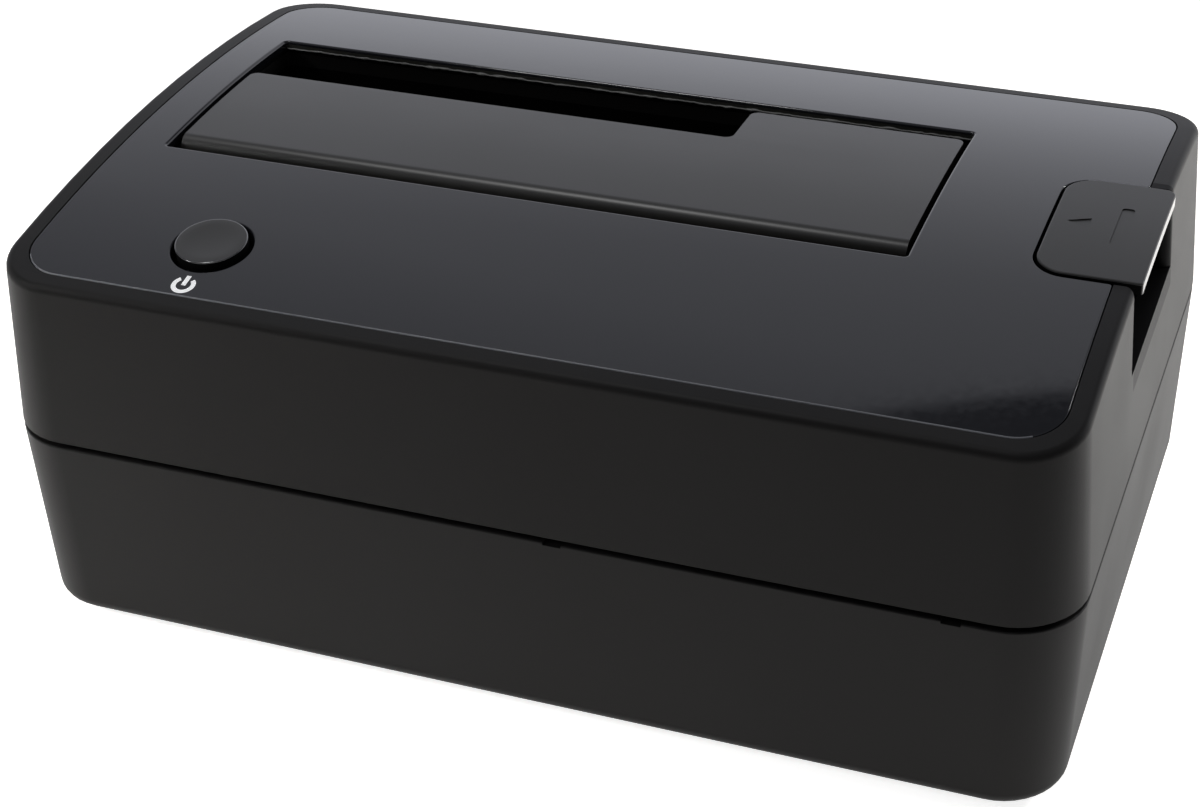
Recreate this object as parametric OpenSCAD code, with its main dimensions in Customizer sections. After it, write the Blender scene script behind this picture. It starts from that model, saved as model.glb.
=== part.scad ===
// Desktop docking station for bare hard drives.
// Millimetres, +X right, +Y back, +Z up. The origin lies on the table, under the middle of the case.

/* [Case] */
// Length of the case along its seam
case_l = 144; // [142:1:180]
// Depth of the case along its seam
case_d = 93; // [92:1:120]
// Height of the lower case, from its underside to the seam
lower_h = 28.4; // [26:0.2:36]
// Height of the upper case, from the seam to the crown of the arch
upper_h = 27.5; // [27:0.1:40]
// Corner radius of the case seen from above, at the seam
corner_r = 9.5; // [8:0.5:14]
// How far the lower walls lean in towards the underside
lower_taper = 0.8; // [0.4:0.1:2]
// How far the upper walls lean in towards the rim
upper_taper = 1.5; // [0.4:0.1:2]
// Wall thickness of both case halves
wall = 2.2; // [1.8:0.1:3]
// Thickness of the lower case floor
floor_t = 2.2; // [1.6:0.1:2.6]
// Thickness of the deck under the top panel
deck_t = 2; // [1.6:0.1:2.4]
// Rounding of the upper rim
rim_r = 1; // [0.6:0.1:2]
// Rounding of the lower edge
base_r = 2; // [0.6:0.1:2.5]
// Height of the open groove along the seam
seam_gap = 0.7; // [0.3:0.1:1.2]
// Height of the tongue that enters the upper case
tongue_h = 3; // [2:0.5:5]
// Radius of the arched top
arch_r = 250; // [220:5:400]
// How far the crown of the arch lies behind the middle
arch_y = 0; // [0:0.5:8]

/* [Top panel] */
// Distance from the seam outline to the edge of the panel
panel_margin = 4.4; // [3.8:0.1:6]
// Thickness of the panel
panel_t = 1.8; // [1.2:0.1:2.2]
// Corner radius of the panel
panel_corner_r = 6; // [4:0.5:9]

/* [Drive bay] */
// Distance from the left end of the case to the bay
bay_left = 10.5; // [9.5:0.1:12]
// Distance from the right end of the case to the bay, which leaves 103.8 mm for a 101.6 mm wide drive
bay_right = 29.7; // [28.5:0.1:31]
// Inside width of the bay
bay_w = 36.4; // [36:0.2:38]
// Distance from the back of the case to the bay
bay_back = 21.75; // [20:0.25:24]
// Height of the bay floor above the underside of the case
bay_floor_h = 12.6; // [12:0.1:13]
// Thickness of the bay walls and floor
bay_wall = 1.6; // [1.2:0.1:2]

/* [Flap] */
// Depth of the flap below the panel surface
flap_recess = 0.3; // [0:0.1:1.2]
// Thickness of the flap plate
flap_t = 2; // [1.6:0.1:2.4]
// Gap at the two ends of the flap
flap_gap = 0.7; // [0.5:0.05:1.5]
// Gap in front of the flap and behind it
flap_margin = 2.4; // [1.6:0.1:3]
// Rounding of the front edge of the flap
flap_roll_r = 2; // [1.5:0.1:2.4]
// Length of the open slot for small drives
slot_l = 73.2; // [71:0.2:80]
// Width of the open slot for small drives
slot_w = 11.9; // [10:0.1:13]
// Depth of the hinge axis below the flap surface
hinge_drop = 5.2; // [5:0.1:6]
// Diameter of the hinge pin
hinge_pin_d = 2; // [1.6:0.1:2.4]
// Wire diameter of the two closing springs
flap_wire_d = 0.5; // [0.4:0.05:0.6]

/* [Eject button] */
// Length of the tab, across the end of the case
tab_l = 13.7; // [13:0.1:16]
// Width of the tab, along the end of the case
tab_w = 24.8; // [22:0.2:30]
// Middle of the tab, behind the middle of the case
tab_y = 1.75; // [0:0.25:4]
// Distance from the right end of the case to the outer edge of the tab
tab_in = 0.8; // [0.4:0.1:1.5]
// Gap around the tab
tab_gap = 0.45; // [0.4:0.05:1.2]
// Height of the tab above the panel
tab_proud = 0.3; // [0:0.1:1]
// Thickness of the tab
tab_t = 2.2; // [1.6:0.1:3]
// Corner radius of the tab at its inner end
tab_corner_r = 4; // [2:0.5:6]
// Depth of the recess under the tab, below the crown
recess_h = 12.1; // [11.5:0.1:14]
// Diameter of the push stem
stem_d = 4; // [3.5:0.5:5]
// Travel of the tab
eject_travel = 6; // [4:0.5:6]
// Wire diameter of the return spring
eject_wire_d = 0.6; // [0.5:0.05:0.8]
// Turns of the return spring
eject_turns = 7; // [5:1:8]

/* [Ejector arm] */
// Distance from the right end of the bay to the pivot
pivot_in = 8.3; // [6:0.1:12]
// Height of the pivot above the underside of the case
pivot_h = 6.8; // [6.5:0.1:7.2]
// Diameter of the pivot pin
pivot_pin_d = 2.5; // [2:0.1:3]
// Reach of the lifting arm
lift_l = 28; // [24:0.5:30]
// Width of both arms
arm_w = 8; // [6:0.5:8.5]
// Thickness of both arms
arm_t = 4; // [3:0.25:4.5]

/* [Power button] */
// Distance from the left end of the case to the button
button_left = 28.1; // [24:0.1:36]
// Distance from the front of the case to the button
button_front = 14.3; // [13.5:0.1:17]
// Diameter of the button
button_d = 10.2; // [8:0.1:12]
// Gap around the button
button_gap = 0.55; // [0.3:0.05:0.8]
// Height of the button above the panel
button_proud = 0.8; // [0.4:0.1:1.5]
// Travel of the button
press_travel = 1.5; // [1:0.1:1.8]

/* [Boards and ports] */
// Thickness of the main board
board_t = 1.6; // [1.2:0.1:1.8]
// Height of the main board above the underside of the case
board_h = 6.8; // [6.4:0.1:7]
// Thickness of the switch board
switch_board_t = 1.4; // [1:0.1:1.6]
// Distance from the left end of the case to the power inlet
dc_left = 26; // [24:0.5:28]
// Distance from the left end of the case to the data port
usb_left = 48; // [42:0.5:56]
// Length of the drive connector
sata_l = 43.6; // [42:0.2:44]

/* [Fasteners and feet] */
// Distance from the ends of the case to its screws
post_in_l = 11; // [10.5:0.25:12]
// Distance from the front and back of the case to its screws
post_in_d = 10.5; // [10:0.25:12]
// Thread diameter of the case screws
case_screw_d = 2.9; // [2.5:0.1:3.2]
// Thread diameter of the bay and board screws
small_screw_d = 2.4; // [2:0.1:2.6]
// Diameter of the rubber feet
foot_d = 10; // [8:0.5:12]
// Height of the feet below the case
foot_h = 1.2; // [0.8:0.1:2]
// Distance from the ends of the case to the feet
foot_in = 24; // [22:0.5:30]

/* [Hidden] */
$fn = 64;
arch_fn = 360;
arc_steps = 10;
side_steps = 10;
rounding_steps = 5;
// Clearances: seated faces, close fits, running pins, pressed pins and screw threads
seat = 0.05;
fit = 0.15;
running = 0.05;
pressed = 0.02;
thread_clear = 0.05;
// How far a cut runs past the face it opens, and a length past everything
over = 1;
far = 300;

half_l = case_l/2;
half_d = case_d/2;
base_z = foot_h;
floor_z = base_z + floor_t;
seam_z = base_z + lower_h;
crown_z = seam_z + upper_h;
seam_edge = 0.15;
tongue_in = 1.6;
tongue_root = 2;
case_box = [-half_l, -half_d, half_l, half_d];
case_corners = corner_r*[1, 1, 1, 1];

// Bay and flap places
bay_x0 = -half_l + bay_left;
bay_x1 = half_l - bay_right;
bay_y1 = half_d - bay_back;
bay_y0 = bay_y1 - bay_w;
bay_floor_z = base_z + bay_floor_h;
opening_corner_r = 0.5;
flap_corner_r = 1.2;
flap_x0 = bay_x0 + flap_gap;
flap_x1 = bay_x1 - flap_gap;
flap_y0 = bay_y0 + flap_margin;
flap_y1 = bay_y1 - flap_margin;
slot_x = bay_x0 + slot_l;
slot_y = bay_y1 - slot_w;
hinge_in = 1.4;
hinge_y = flap_y0 + hinge_in;
hinge_z = top_z(hinge_y, flap_recess) - hinge_drop;
lug_r = 2.2;
lug_w = 5;
lug_in = 0.5;
lug_edge = 0.3;
rib_t = 1.2;
rib_h = 1.6;
rib_in = 7;
rib_edge = 2;

// Closing springs of the flap
flap_turns = 5;
flap_coil_room = 0.4;
flap_turn_gap = 0.6;
flap_coil_r = hinge_pin_d/2 + flap_wire_d/2 + flap_coil_room;
flap_pitch = flap_wire_d + flap_turn_gap;
flap_leg_l = 9;
flap_spring_side = 0.8;

// Eject button, its pocket, stem and spring
tab_x1 = half_l - tab_in;
tab_x0 = tab_x1 - tab_l;
tab_y0 = tab_y - tab_w/2;
tab_y1 = tab_y + tab_w/2;
tab_edge_r = 0.8;
tab_outer_r = 1.4;
pocket_x0 = tab_x0 - tab_gap;
pocket_y0 = tab_y0 - tab_gap;
pocket_y1 = tab_y1 + tab_gap;
pocket_z = crown_z - recess_h;
pocket_t = 1.8;
pocket_wall = 1.6;
mouth_r = 1.6;
tube_wall = 1.2;
tube_h = 8.7;
tube_floor_t = 2;
tube_z = pocket_z - pocket_t - tube_h;
spring_room = 0.4;
spring_r = stem_d/2 + spring_room + eject_wire_d/2;
spring_bore_r = spring_r + eject_wire_d/2 + spring_room;
tube_r = spring_bore_r + tube_wall;
spring_z0 = tube_z + tube_floor_t;
spring_seat_drop = 4;
spring_z1 = crown_z - spring_seat_drop;
tab_skirt_t = 1.6;
tab_skirt_gap = 0.5;
tab_skirt_short = 1;
tab_skirt_over = 2.4;
tab_skirt_x1 = half_l - upper_taper - wall - tab_skirt_gap;
tab_skirt_x0 = tab_skirt_x1 - tab_skirt_t;
skirt_y0 = tab_y0 + tab_skirt_short;
skirt_y1 = tab_y1 - tab_skirt_short;
stem_x = tab_skirt_x0 - tab_skirt_gap - tube_r;
clip_t = 0.8;
clip_groove = 0.7;
clip_out = 1.6;
clip_gap = 0.2;
clip_z = tube_z - clip_gap - clip_t;

// Ejector arm: a see-saw from the stem to the bay floor
pivot_x = bay_x1 - pivot_in;
pivot_z = base_z + pivot_h;
hub_r = 3;
pad_r = 2.2;
nose_r = 2.2;
pad_share = 0.75;
pad_rise = pad_share*eject_travel;
push_gap = 0.3;
nose_drop = 0.2;
arm_y = bay_y1 - slot_w/2;
nose_rise = bay_floor_z - nose_drop - nose_r - pivot_z;
pad_angle = atan2(pad_rise, stem_x - pivot_x);
pad_l = norm([stem_x - pivot_x, pad_rise]);
nose_angle = atan2(nose_rise, lift_l);
nose_l = norm([lift_l, nose_rise]);
stem_z = pivot_z + pad_rise + pad_r + push_gap;
pivot_post_t = 4;
pivot_post_gap = 0.5;
pivot_y0 = tab_y - arm_w/2;
pivot_y1 = arm_y + arm_w/2;

// Power button, in a frame that stands square on the arched panel
button_x = -half_l + button_left;
button_y = -half_d + button_front;
button_tilt = asin((arch_y - button_y)/arch_r);
deck_low = -(panel_t + deck_t);
guide_h = 0.8;
guide_t = 1.5;
flange_gap = 0.2;
flange_t = 1;
flange_out = 1.1;
skirt_low = deck_low - guide_h - flange_gap - flange_t;
cap_t = 2;
skirt_t = 1.2;
dish_d = 7.4;
dish_depth = 0.45;
button_stem_d = 4.4;
button_edge = 0.7;
plunger_d = 3;
button_stem_h = 3.5;
plunger_top = skirt_low - button_stem_h;
plunger_out = 2.5;
plunger_in = 3;
plunger_room = 0.4;
switch_collar_h = 1;
switch_collar_t = 1.2;
switch_h = 6;
switch_side = 8.4;
switch_top = plunger_top - plunger_out;
switch_board_z = switch_top - switch_collar_h - switch_h;
switch_board_d = 13;
switch_post_x = 10;
switch_post_d = 5;
switch_board_l = 2*switch_post_x + switch_post_d;
switch_screw_d = 2;
led_d = 3;
led_h = 4;
led_rim = 0.4;
led_gap = 0.7;
led_y = 3.5;

// Main board and what stands on it
board_z = base_z + board_h;
board_top = board_z + board_t;
board_gap = 0.6;
board_front = 3;
board_past_bay = 1.4;
board_arm_gap = 5;
board_x0 = bay_x0 - board_past_bay;
board_x1 = pivot_x - lift_l - board_arm_gap;
board_y0 = -half_d + lower_taper + wall + board_front;
board_y1 = half_d - lower_taper - wall - board_gap;
port_in = 0.3;
port_face = half_d - lower_taper - port_in;
standoff_d = 6;
standoff_front = 5;
standoff_left = 14;
standoff_right = 6;
standoff_edge = 4;
standoff_mid = 10.5;
standoff_back = 1.5;
standoff_places = [
    [board_x0 + standoff_left, board_y0 + standoff_front],
    [board_x1 - standoff_right, board_y0 + standoff_front],
    [board_x0 + standoff_edge, bay_y1 - standoff_mid],
    [board_x1 - standoff_right, bay_y1 + standoff_back]
];
sata_in = 6;
sata_x0 = bay_x0 + sata_in;
sata_d = 5.8;
sata_h = 8.6;
sata_back = 5.5;
sata_y = bay_y1 - sata_back;
contact_pitch = 1.27;
contact_w = 0.7;
contact_t = 0.35;
contact_h = 5;
key_w = 1;
signal_count = 7;
power_count = 15;
sata_end = 3.4;
sata_between = 3.2;
signal_x = sata_x0 + sata_end;
signal_l = signal_count*contact_pitch + key_w;
power_x = signal_x + signal_l + sata_between;
power_l = power_count*contact_pitch + key_w;
slot_room = 2.3;
sata_slot_h = 2.4;
sata_slot_z = board_top + sata_slot_h;
usb_x = -half_l + usb_left;
usb_size = [12, 16.4, 10.8];
usb_skin = 0.45;
usb_core_in = 0.6;
usb_mouth = [8.6, 10, 7.9];
usb_tongue = [5.6, 8.6, 3.2];
dc_x = -half_l + dc_left;
dc_size = [9, 14.2, 10.9];
dc_hole_d = 6.4;
dc_depth = 9.6;
dc_axis_h = 6.4;
dc_pin_d = 2.1;
dc_pin_in = 1.2;
port_gap = 0.4;
header_size = [7.5, 4.4, 5];
cable_w = 5;
cable_t = 0.9;
header_low = switch_board_z - switch_board_t - header_size[2];
header_y = -4;
main_header_in = 14;
main_header_y = board_y0 + main_header_in;
chip_in = 24;
chip_x = board_x1 - chip_in;
chip_behind = 12;
chip_y = main_header_y + chip_behind;
chip_side = 10;
chip_h = 1.4;
chip_stand = 0.1;
chip_leads = 11;
chip_lead = [1, 0.3, 0.25];
chip_lead_root = 0.5;
chip_lead_pitch = 0.8;
can_d = 6.3;
can_h = 7.5;
can_in = 5;
can_pitch = 7.5;
port_can_in = 9;
coil_side = 7;
coil_base_t = 1;
coil_d = 6.4;
coil_h = 4;
coil_front = 4.5;
crystal_size = [11, 4.6, 1.5];
crystal_r = 2.2;
crystal_gap = 1.5;
crystal_y = chip_y + chip_side/2 + chip_lead[0] + crystal_gap;

// Fasteners
post_x = half_l - post_in_l;
post_y = half_d - post_in_d;
post_d = 7.6;
boss_d = 7;
post_drop = 6;
post_z = seam_z - post_drop;
head_d = 5.6;
head_h = 2.2;
head_seat_h = 5;
head_seat_z = base_z + head_seat_h;
head_clear = 0.4;
screw_bite = 9;
hole_spare = 0.5;
small_head_d = 4.4;
small_head_h = 1.6;
switch_head_d = 3.8;
ear_in = 34;
ear_out = 4;
ear_d = 7;
ear_t = 3;
ear_drop = 12;
ear_z = crown_z - ear_drop;
bay_bite = 5.5;
board_bite = 3.4;
switch_bite = 5;
foot_seat = 0.8;
vent_count = 8;
vent_pitch = 4;
vent_w = 1.6;
vent_l = 24;
vent_in = 10;
vent_x = board_x1 - vent_in;
notch_w = 2.4;
notch_h = 0.4;
notch_mid = 7.3;
notch_end = 14.5;
notch_places = [notch_mid, half_l - notch_end];

// Height of the arched top at y, measured square to the arch and drop below its surface
function top_z(y, drop = 0) = crown_z - arch_r + sqrt(pow(arch_r - drop, 2) - pow(y - arch_y, 2));

// Points on a quarter circle, and points between two ends
function arc_points(c, r, from) = [
    for (i = [0:arc_steps])
        c + r*[cos(from + 90*i/arc_steps), sin(from + 90*i/arc_steps)]
];
function side_points(a, b) = [for (i = [1:side_steps - 1]) a + (b - a)*i/side_steps];

// A rectangle with rounded corners, anticlockwise from the front right corner.
// box is [low x, low y, high x, high y]; r runs front right, back right, back left, front left.
function outline(box, r) = concat(
    arc_points([box[2] - r[0], box[1] + r[0]], r[0], 270),
    side_points([box[2], box[1] + r[0]], [box[2], box[3] - r[1]]),
    arc_points([box[2] - r[1], box[3] - r[1]], r[1], 0),
    arc_points([box[0] + r[2], box[3] - r[2]], r[2], 90),
    side_points([box[0], box[3] - r[2]], [box[0], box[1] + r[3]]),
    arc_points([box[0] + r[3], box[1] + r[3]], r[3], 180)
);
function inset_outline(box, r, inset) = outline(
    box + inset*[1, 1, -1, -1],
    r - inset*[1, 1, 1, 1]
);

// Rings of the case outline, drawn in by inset: flat at a height, or following the arch
function flat_ring(inset, z) = [
    for (p = inset_outline(case_box, case_corners, inset)) [p[0], p[1], z]
];
function arch_ring(box, r, inset, drop) = [
    for (p = inset_outline(box, r, inset)) [p[0], p[1], top_z(p[1], drop)]
];

function triangles(q) = [[q[0], q[1], q[2]], [q[0], q[2], q[3]]];

// Skin over a stack of rings that all have the same number of points
module loft(rings) {
    n = len(rings[0]);
    last = (len(rings) - 1)*n;
    sides = [
        for (k = [0:len(rings) - 2], i = [0:n - 1])
            let (a = k*n + i, b = k*n + (i + 1)%n)
            each triangles([a, a + n, b + n, b])
    ];
    low = [for (i = [0:n/2 - 2]) each triangles([i, i + 1, n - 2 - i, n - 1 - i])];
    high = [
        for (i = [0:n/2 - 2])
            each triangles(last*[1, 1, 1, 1] + [i, n - 1 - i, n - 2 - i, i + 1])
    ];
    polyhedron([for (ring = rings) each ring], concat(sides, low, high));
}

// Round wire swept along a path; axis is never along the path
function wire_ring(path, i, r, axis) =
    let (
        n = len(path) - 1,
        along = path[min(i + 1, n)] - path[max(i - 1, 0)],
        t = along/norm(along),
        side = cross(t, axis)/norm(cross(t, axis)),
        up = cross(side, t)
    )
    [for (k = [0:5]) path[i] + r*(cos(60*k)*side + sin(60*k)*up)];
module wire(path, r, axis) {
    n = len(path);
    points = [for (i = [0:n - 1]) each wire_ring(path, i, r, axis)];
    sides = [
        for (i = [0:n - 2], k = [0:5])
            let (a = 6*i + k, b = 6*i + (k + 1)%6)
            each triangles([a, b, b + 6, a + 6])
    ];
    ends = [
        for (k = [1:4])
            each [[0, k + 1, k], 6*(n - 1)*[1, 1, 1] + [0, k, k + 1]]
    ];
    polyhedron(points, concat(sides, ends));
}
// Least distance between the turns of a wire, from points over half a turn apart
function least_gap(path, wire_d, half_turn) = min([
    for (i = [0:len(path) - 1], j = [i + half_turn:1:len(path) - 1])
        norm(path[i] - path[j]) - wire_d
]);

// Rounded rectangle between two corners, made of true arcs
module soft_rect(x0, y0, x1, y1, r) {
    translate([x0 + r, y0]) square([x1 - x0 - 2*r, y1 - y0]);
    translate([x0, y0 + r]) square([x1 - x0, y1 - y0 - 2*r]);
    for (x = [x0 + r, x1 - r], y = [y0 + r, y1 - r])
        translate([x, y]) circle(r);
}
// The case outline drawn in by inset, as an upright prism
module plan_prism(inset, r, z0, z1) {
    translate([0, 0, z0])
        linear_extrude(z1 - z0)
            soft_rect(-half_l + inset, -half_d + inset, half_l - inset, half_d - inset, r);
}
// Everything under the arch, drop below the top surface
module under_arch(drop) {
    translate([0, arch_y, crown_z - arch_r])
        rotate([0, 90, 0])
            cylinder(r = arch_r - drop, h = far, center = true, $fn = arch_fn);
}
// A curved sheet between two depths under the arch, cut to the 2D children
module arch_sheet(from, to) {
    difference() {
        intersection() {
            linear_extrude(crown_z + over) children();
            under_arch(from);
        }
        under_arch(to);
    }
}
module along_x(x0, x1, y, z, r) {
    translate([x0, y, z]) rotate([0, 90, 0]) cylinder(r = r, h = x1 - x0);
}
module along_y(y0, y1, x, z, r) {
    translate([x, y1, z]) rotate([90, 0, 0]) cylinder(r = r, h = y1 - y0);
}
module upright(x, y, z0, z1, d) {
    translate([x, y, z0]) cylinder(d = d, h = z1 - z0);
}
module block(low, high) {
    translate(low) cube(high - low);
}
// Frame that stands square on the panel at the power button
module at_button() {
    translate([button_x, button_y, top_z(button_y)])
        rotate([button_tilt, 0, 0])
            children();
}
module at_posts() {
    for (x = [-post_x, post_x], y = [-post_y, post_y])
        translate([x, y, 0]) children();
}
module at_ears() {
    for (x = [bay_x0 + ear_in, bay_x1 - ear_in], side = [-1, 1])
        translate([x, side < 0 ? bay_y0 - bay_wall - ear_out : bay_y1 + bay_wall + ear_out, 0])
            children();
}
module at_feet() {
    for (x = [-half_l + foot_in, half_l - foot_in], y = [-post_y, post_y])
        translate([x, y, 0]) children();
}

module opening_plan() {
    soft_rect(bay_x0, bay_y0, bay_x1, bay_y1, opening_corner_r);
}
module pocket_plan() {
    r = tab_corner_r + tab_gap;
    soft_rect(pocket_x0, pocket_y0, half_l + 2*r, pocket_y1, r);
}
// Rounded corners where the pocket opens in the end of the case, leaning with the wall
module pocket_mouth() {
    lean = atan(upper_taper/upper_h);
    intersection() {
        for (side = [0, 1])
            translate([half_l, tab_y, seam_z])
                mirror([0, side, 0])
                    rotate([0, -lean, 0])
                        translate([0, tab_w/2 + tab_gap, 0])
                            linear_extrude(upper_h + over)
                                difference() {
                                    translate([-mouth_r, -over]) square(mouth_r + over);
                                    translate([-mouth_r, mouth_r]) circle(mouth_r);
                                }
        block([0, -half_d, pocket_z], [half_l + over, half_d, crown_z + over]);
    }
}
module button_hole() {
    at_button()
        upright(0, 0, deck_low - guide_h - over, button_proud + over, button_d + 2*button_gap);
}

// Upper shell: lofted skin, panel seat, tab pocket and everything that hangs from the deck
module upper_skin() {
    rounding = [
        for (i = [0:rounding_steps])
            let (a = 90*i/rounding_steps)
            arch_ring(case_box, case_corners, upper_taper + rim_r*(1 - cos(a)), rim_r*(1 - sin(a)))
    ];
    low = seam_z + seam_gap/2;
    loft(concat([flat_ring(seam_edge, low), flat_ring(0, low + seam_edge)], rounding));
}
module upper_hangers() {
    intersection() {
        union() {
            at_posts() upright(0, 0, post_z, crown_z, boss_d);
            at_ears() upright(0, 0, ear_z, crown_z, ear_d);
            at_button()
                for (x = [-switch_post_x, switch_post_x])
                    upright(x, 0, switch_board_z, -panel_t, switch_post_d);
            at_button()
                upright(0, 0, deck_low - guide_h, -panel_t, button_d + 2*button_gap + 2*guide_t);
            block(
                [pocket_x0 - pocket_wall, pocket_y0 - pocket_wall, pocket_z - pocket_t],
                [half_l - upper_taper - wall/2, pocket_y1 + pocket_wall, crown_z]
            );
            upright(stem_x, tab_y, tube_z, pocket_z, 2*tube_r);
        }
        under_arch(panel_t + deck_t/2);
    }
}
module upper_case() {
    color("#2b2a29")
        difference() {
            union() {
                difference() {
                    upper_skin();
                    difference() {
                        plan_prism(panel_margin - fit, panel_corner_r + fit, seam_z, crown_z + over);
                        under_arch(panel_t);
                    }
                    intersection() {
                        plan_prism(upper_taper + wall, corner_r - upper_taper - wall, base_z, crown_z);
                        under_arch(panel_t + deck_t);
                    }
                    plan_prism(tongue_in - fit, corner_r - tongue_in + fit, base_z, seam_z + tongue_h + fit);
                }
                upper_hangers();
            }
            linear_extrude(crown_z + over) opening_plan();
            translate([0, 0, pocket_z]) linear_extrude(recess_h + over) pocket_plan();
            pocket_mouth();
            upright(stem_x, tab_y, spring_z0, crown_z, 2*spring_bore_r);
            block(
                [tab_skirt_x0 - tab_skirt_gap, skirt_y0 - tab_skirt_gap, pocket_z - pocket_t - over],
                [tab_skirt_x1 + tab_skirt_gap, skirt_y1 + tab_skirt_gap, pocket_z + over]
            );
            upright(stem_x, tab_y, tube_z - over, crown_z, stem_d + 2*running);
            button_hole();
            at_posts()
                upright(0, 0, post_z - over, post_z + screw_bite + over, case_screw_d + 2*thread_clear);
            at_ears()
                upright(0, 0, ear_z - over, ear_z + bay_bite + hole_spare, small_screw_d + 2*thread_clear);
            at_button()
                for (x = [-switch_post_x, switch_post_x])
                    upright(x, 0, switch_board_z - over, switch_board_z + switch_bite + hole_spare,
                        switch_screw_d + 2*thread_clear);
        }
}

// Lower shell: lofted tray, seam tongue, screw posts, standoffs, pivot posts, ports and vents
module lower_skin() {
    rounding = [
        for (i = [0:rounding_steps])
            let (a = 90*i/rounding_steps)
            flat_ring(lower_taper + base_r*(1 - sin(a)), base_z + base_r*(1 - cos(a)))
    ];
    high = seam_z - seam_gap/2;
    loft(concat(rounding, [flat_ring(0, high - seam_edge), flat_ring(seam_edge, high)]));
}
module tray_space(z0, z1) {
    plan_prism(lower_taper + wall, corner_r - lower_taper - wall, z0, z1);
}
module pivot_post(y) {
    block([pivot_x - hub_r, y, base_z + floor_t/2], [pivot_x + hub_r, y + pivot_post_t, pivot_z]);
    along_y(y, y + pivot_post_t, pivot_x, pivot_z, hub_r);
}
module port_cuts() {
    inside = half_d - lower_taper - wall - over;
    for (port = [[usb_x, usb_size], [dc_x, dc_size]])
        block(
            [port[0] - port[1][0]/2 - port_gap, inside, board_top - port_gap],
            [port[0] + port[1][0]/2 + port_gap, half_d + over, board_top + port[1][2] + port_gap]
        );
}
module lower_case() {
    color("#2b2a29")
        difference() {
            union() {
                difference() {
                    lower_skin();
                    tray_space(floor_z, seam_z + over);
                }
                difference() {
                    plan_prism(tongue_in, corner_r - tongue_in, seam_z - tongue_root, seam_z + tongue_h);
                    tray_space(seam_z - tongue_root - over, seam_z + tongue_h + over);
                }
                at_posts() upright(0, 0, base_z + floor_t/2, post_z, post_d);
                for (p = standoff_places) upright(p[0], p[1], base_z + floor_t/2, board_z, standoff_d);
                pivot_post(pivot_y0 - pivot_post_gap - pivot_post_t);
                pivot_post(pivot_y1 + pivot_post_gap);
            }
            at_posts() {
                upright(0, 0, base_z - over, head_seat_z, head_d + 2*head_clear);
                upright(0, 0, base_z - over, post_z + over, case_screw_d + 2*head_clear);
            }
            for (p = standoff_places)
                upright(p[0], p[1], board_z - board_bite - hole_spare, board_z + over,
                    small_screw_d + 2*thread_clear);
            along_y(pivot_y0 - 2*pivot_post_t, pivot_y1 + 2*pivot_post_t, pivot_x, pivot_z,
                pivot_pin_d/2 + pressed);
            port_cuts();
            at_feet() upright(0, 0, base_z - over, base_z + foot_seat, foot_d + 2*fit);
            for (i = [0:vent_count - 1])
                block(
                    [vent_x - vent_w - i*vent_pitch, -vent_l/2, base_z - over],
                    [vent_x - i*vent_pitch, vent_l/2, floor_z + over]
                );
            for (x = notch_places)
                block(
                    [x - notch_w/2, -half_d - over, seam_z - seam_gap/2 - notch_h],
                    [x + notch_w/2, -half_d + tongue_in, seam_z]
                );
        }
}

// Gloss panel, curved with the arch
module top_panel() {
    color("#2e2f35")
        difference() {
            arch_sheet(0, panel_t - seat)
                soft_rect(-half_l + panel_margin, -half_d + panel_margin,
                    half_l - panel_margin, half_d - panel_margin, panel_corner_r);
            linear_extrude(crown_z + over) opening_plan();
            translate([0, 0, pocket_z]) linear_extrude(recess_h + over) pocket_plan();
            button_hole();
        }
}

// Well that the drives stand in, screwed up under the deck by four ears
module bay_frame() {
    sata_gap = 0.5;
    arm_gap = 0.7;
    low = bay_floor_z - bay_wall;
    cut_low = low - over;
    cut_high = bay_floor_z + over;
    color("#232323")
        difference() {
            union() {
                intersection() {
                    block([bay_x0 - bay_wall, bay_y0 - bay_wall, low],
                        [bay_x1 + bay_wall, bay_y1 + bay_wall, crown_z]);
                    under_arch(panel_t + deck_t + seat);
                }
                at_ears() upright(0, 0, ear_z - ear_t, ear_z, ear_d);
                for (x = [bay_x0 + ear_in, bay_x1 - ear_in]) {
                    block([x - ear_d/2, bay_y0 - bay_wall - ear_out, ear_z - ear_t],
                        [x + ear_d/2, bay_y0 - bay_wall/2, ear_z]);
                    block([x - ear_d/2, bay_y1 + bay_wall/2, ear_z - ear_t],
                        [x + ear_d/2, bay_y1 + bay_wall + ear_out, ear_z]);
                }
            }
            translate([0, 0, bay_floor_z]) linear_extrude(crown_z) opening_plan();
            block([sata_x0 - sata_gap, sata_y - sata_d/2 - sata_gap, cut_low],
                [sata_x0 + sata_l + sata_gap, sata_y + sata_d/2 + sata_gap, cut_high]);
            block([pivot_x - lift_l - nose_r - arm_gap, arm_y - arm_w/2 - arm_gap, cut_low],
                [pivot_x - hub_r, arm_y + arm_w/2 + arm_gap, cut_high]);
            along_x(bay_x0 - 2*bay_wall, bay_x1 + 2*bay_wall, hinge_y, hinge_z, hinge_pin_d/2 + pressed);
            at_ears() upright(0, 0, ear_z - ear_t - over, ear_z + over, small_screw_d + 2*head_clear);
        }
}

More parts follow.
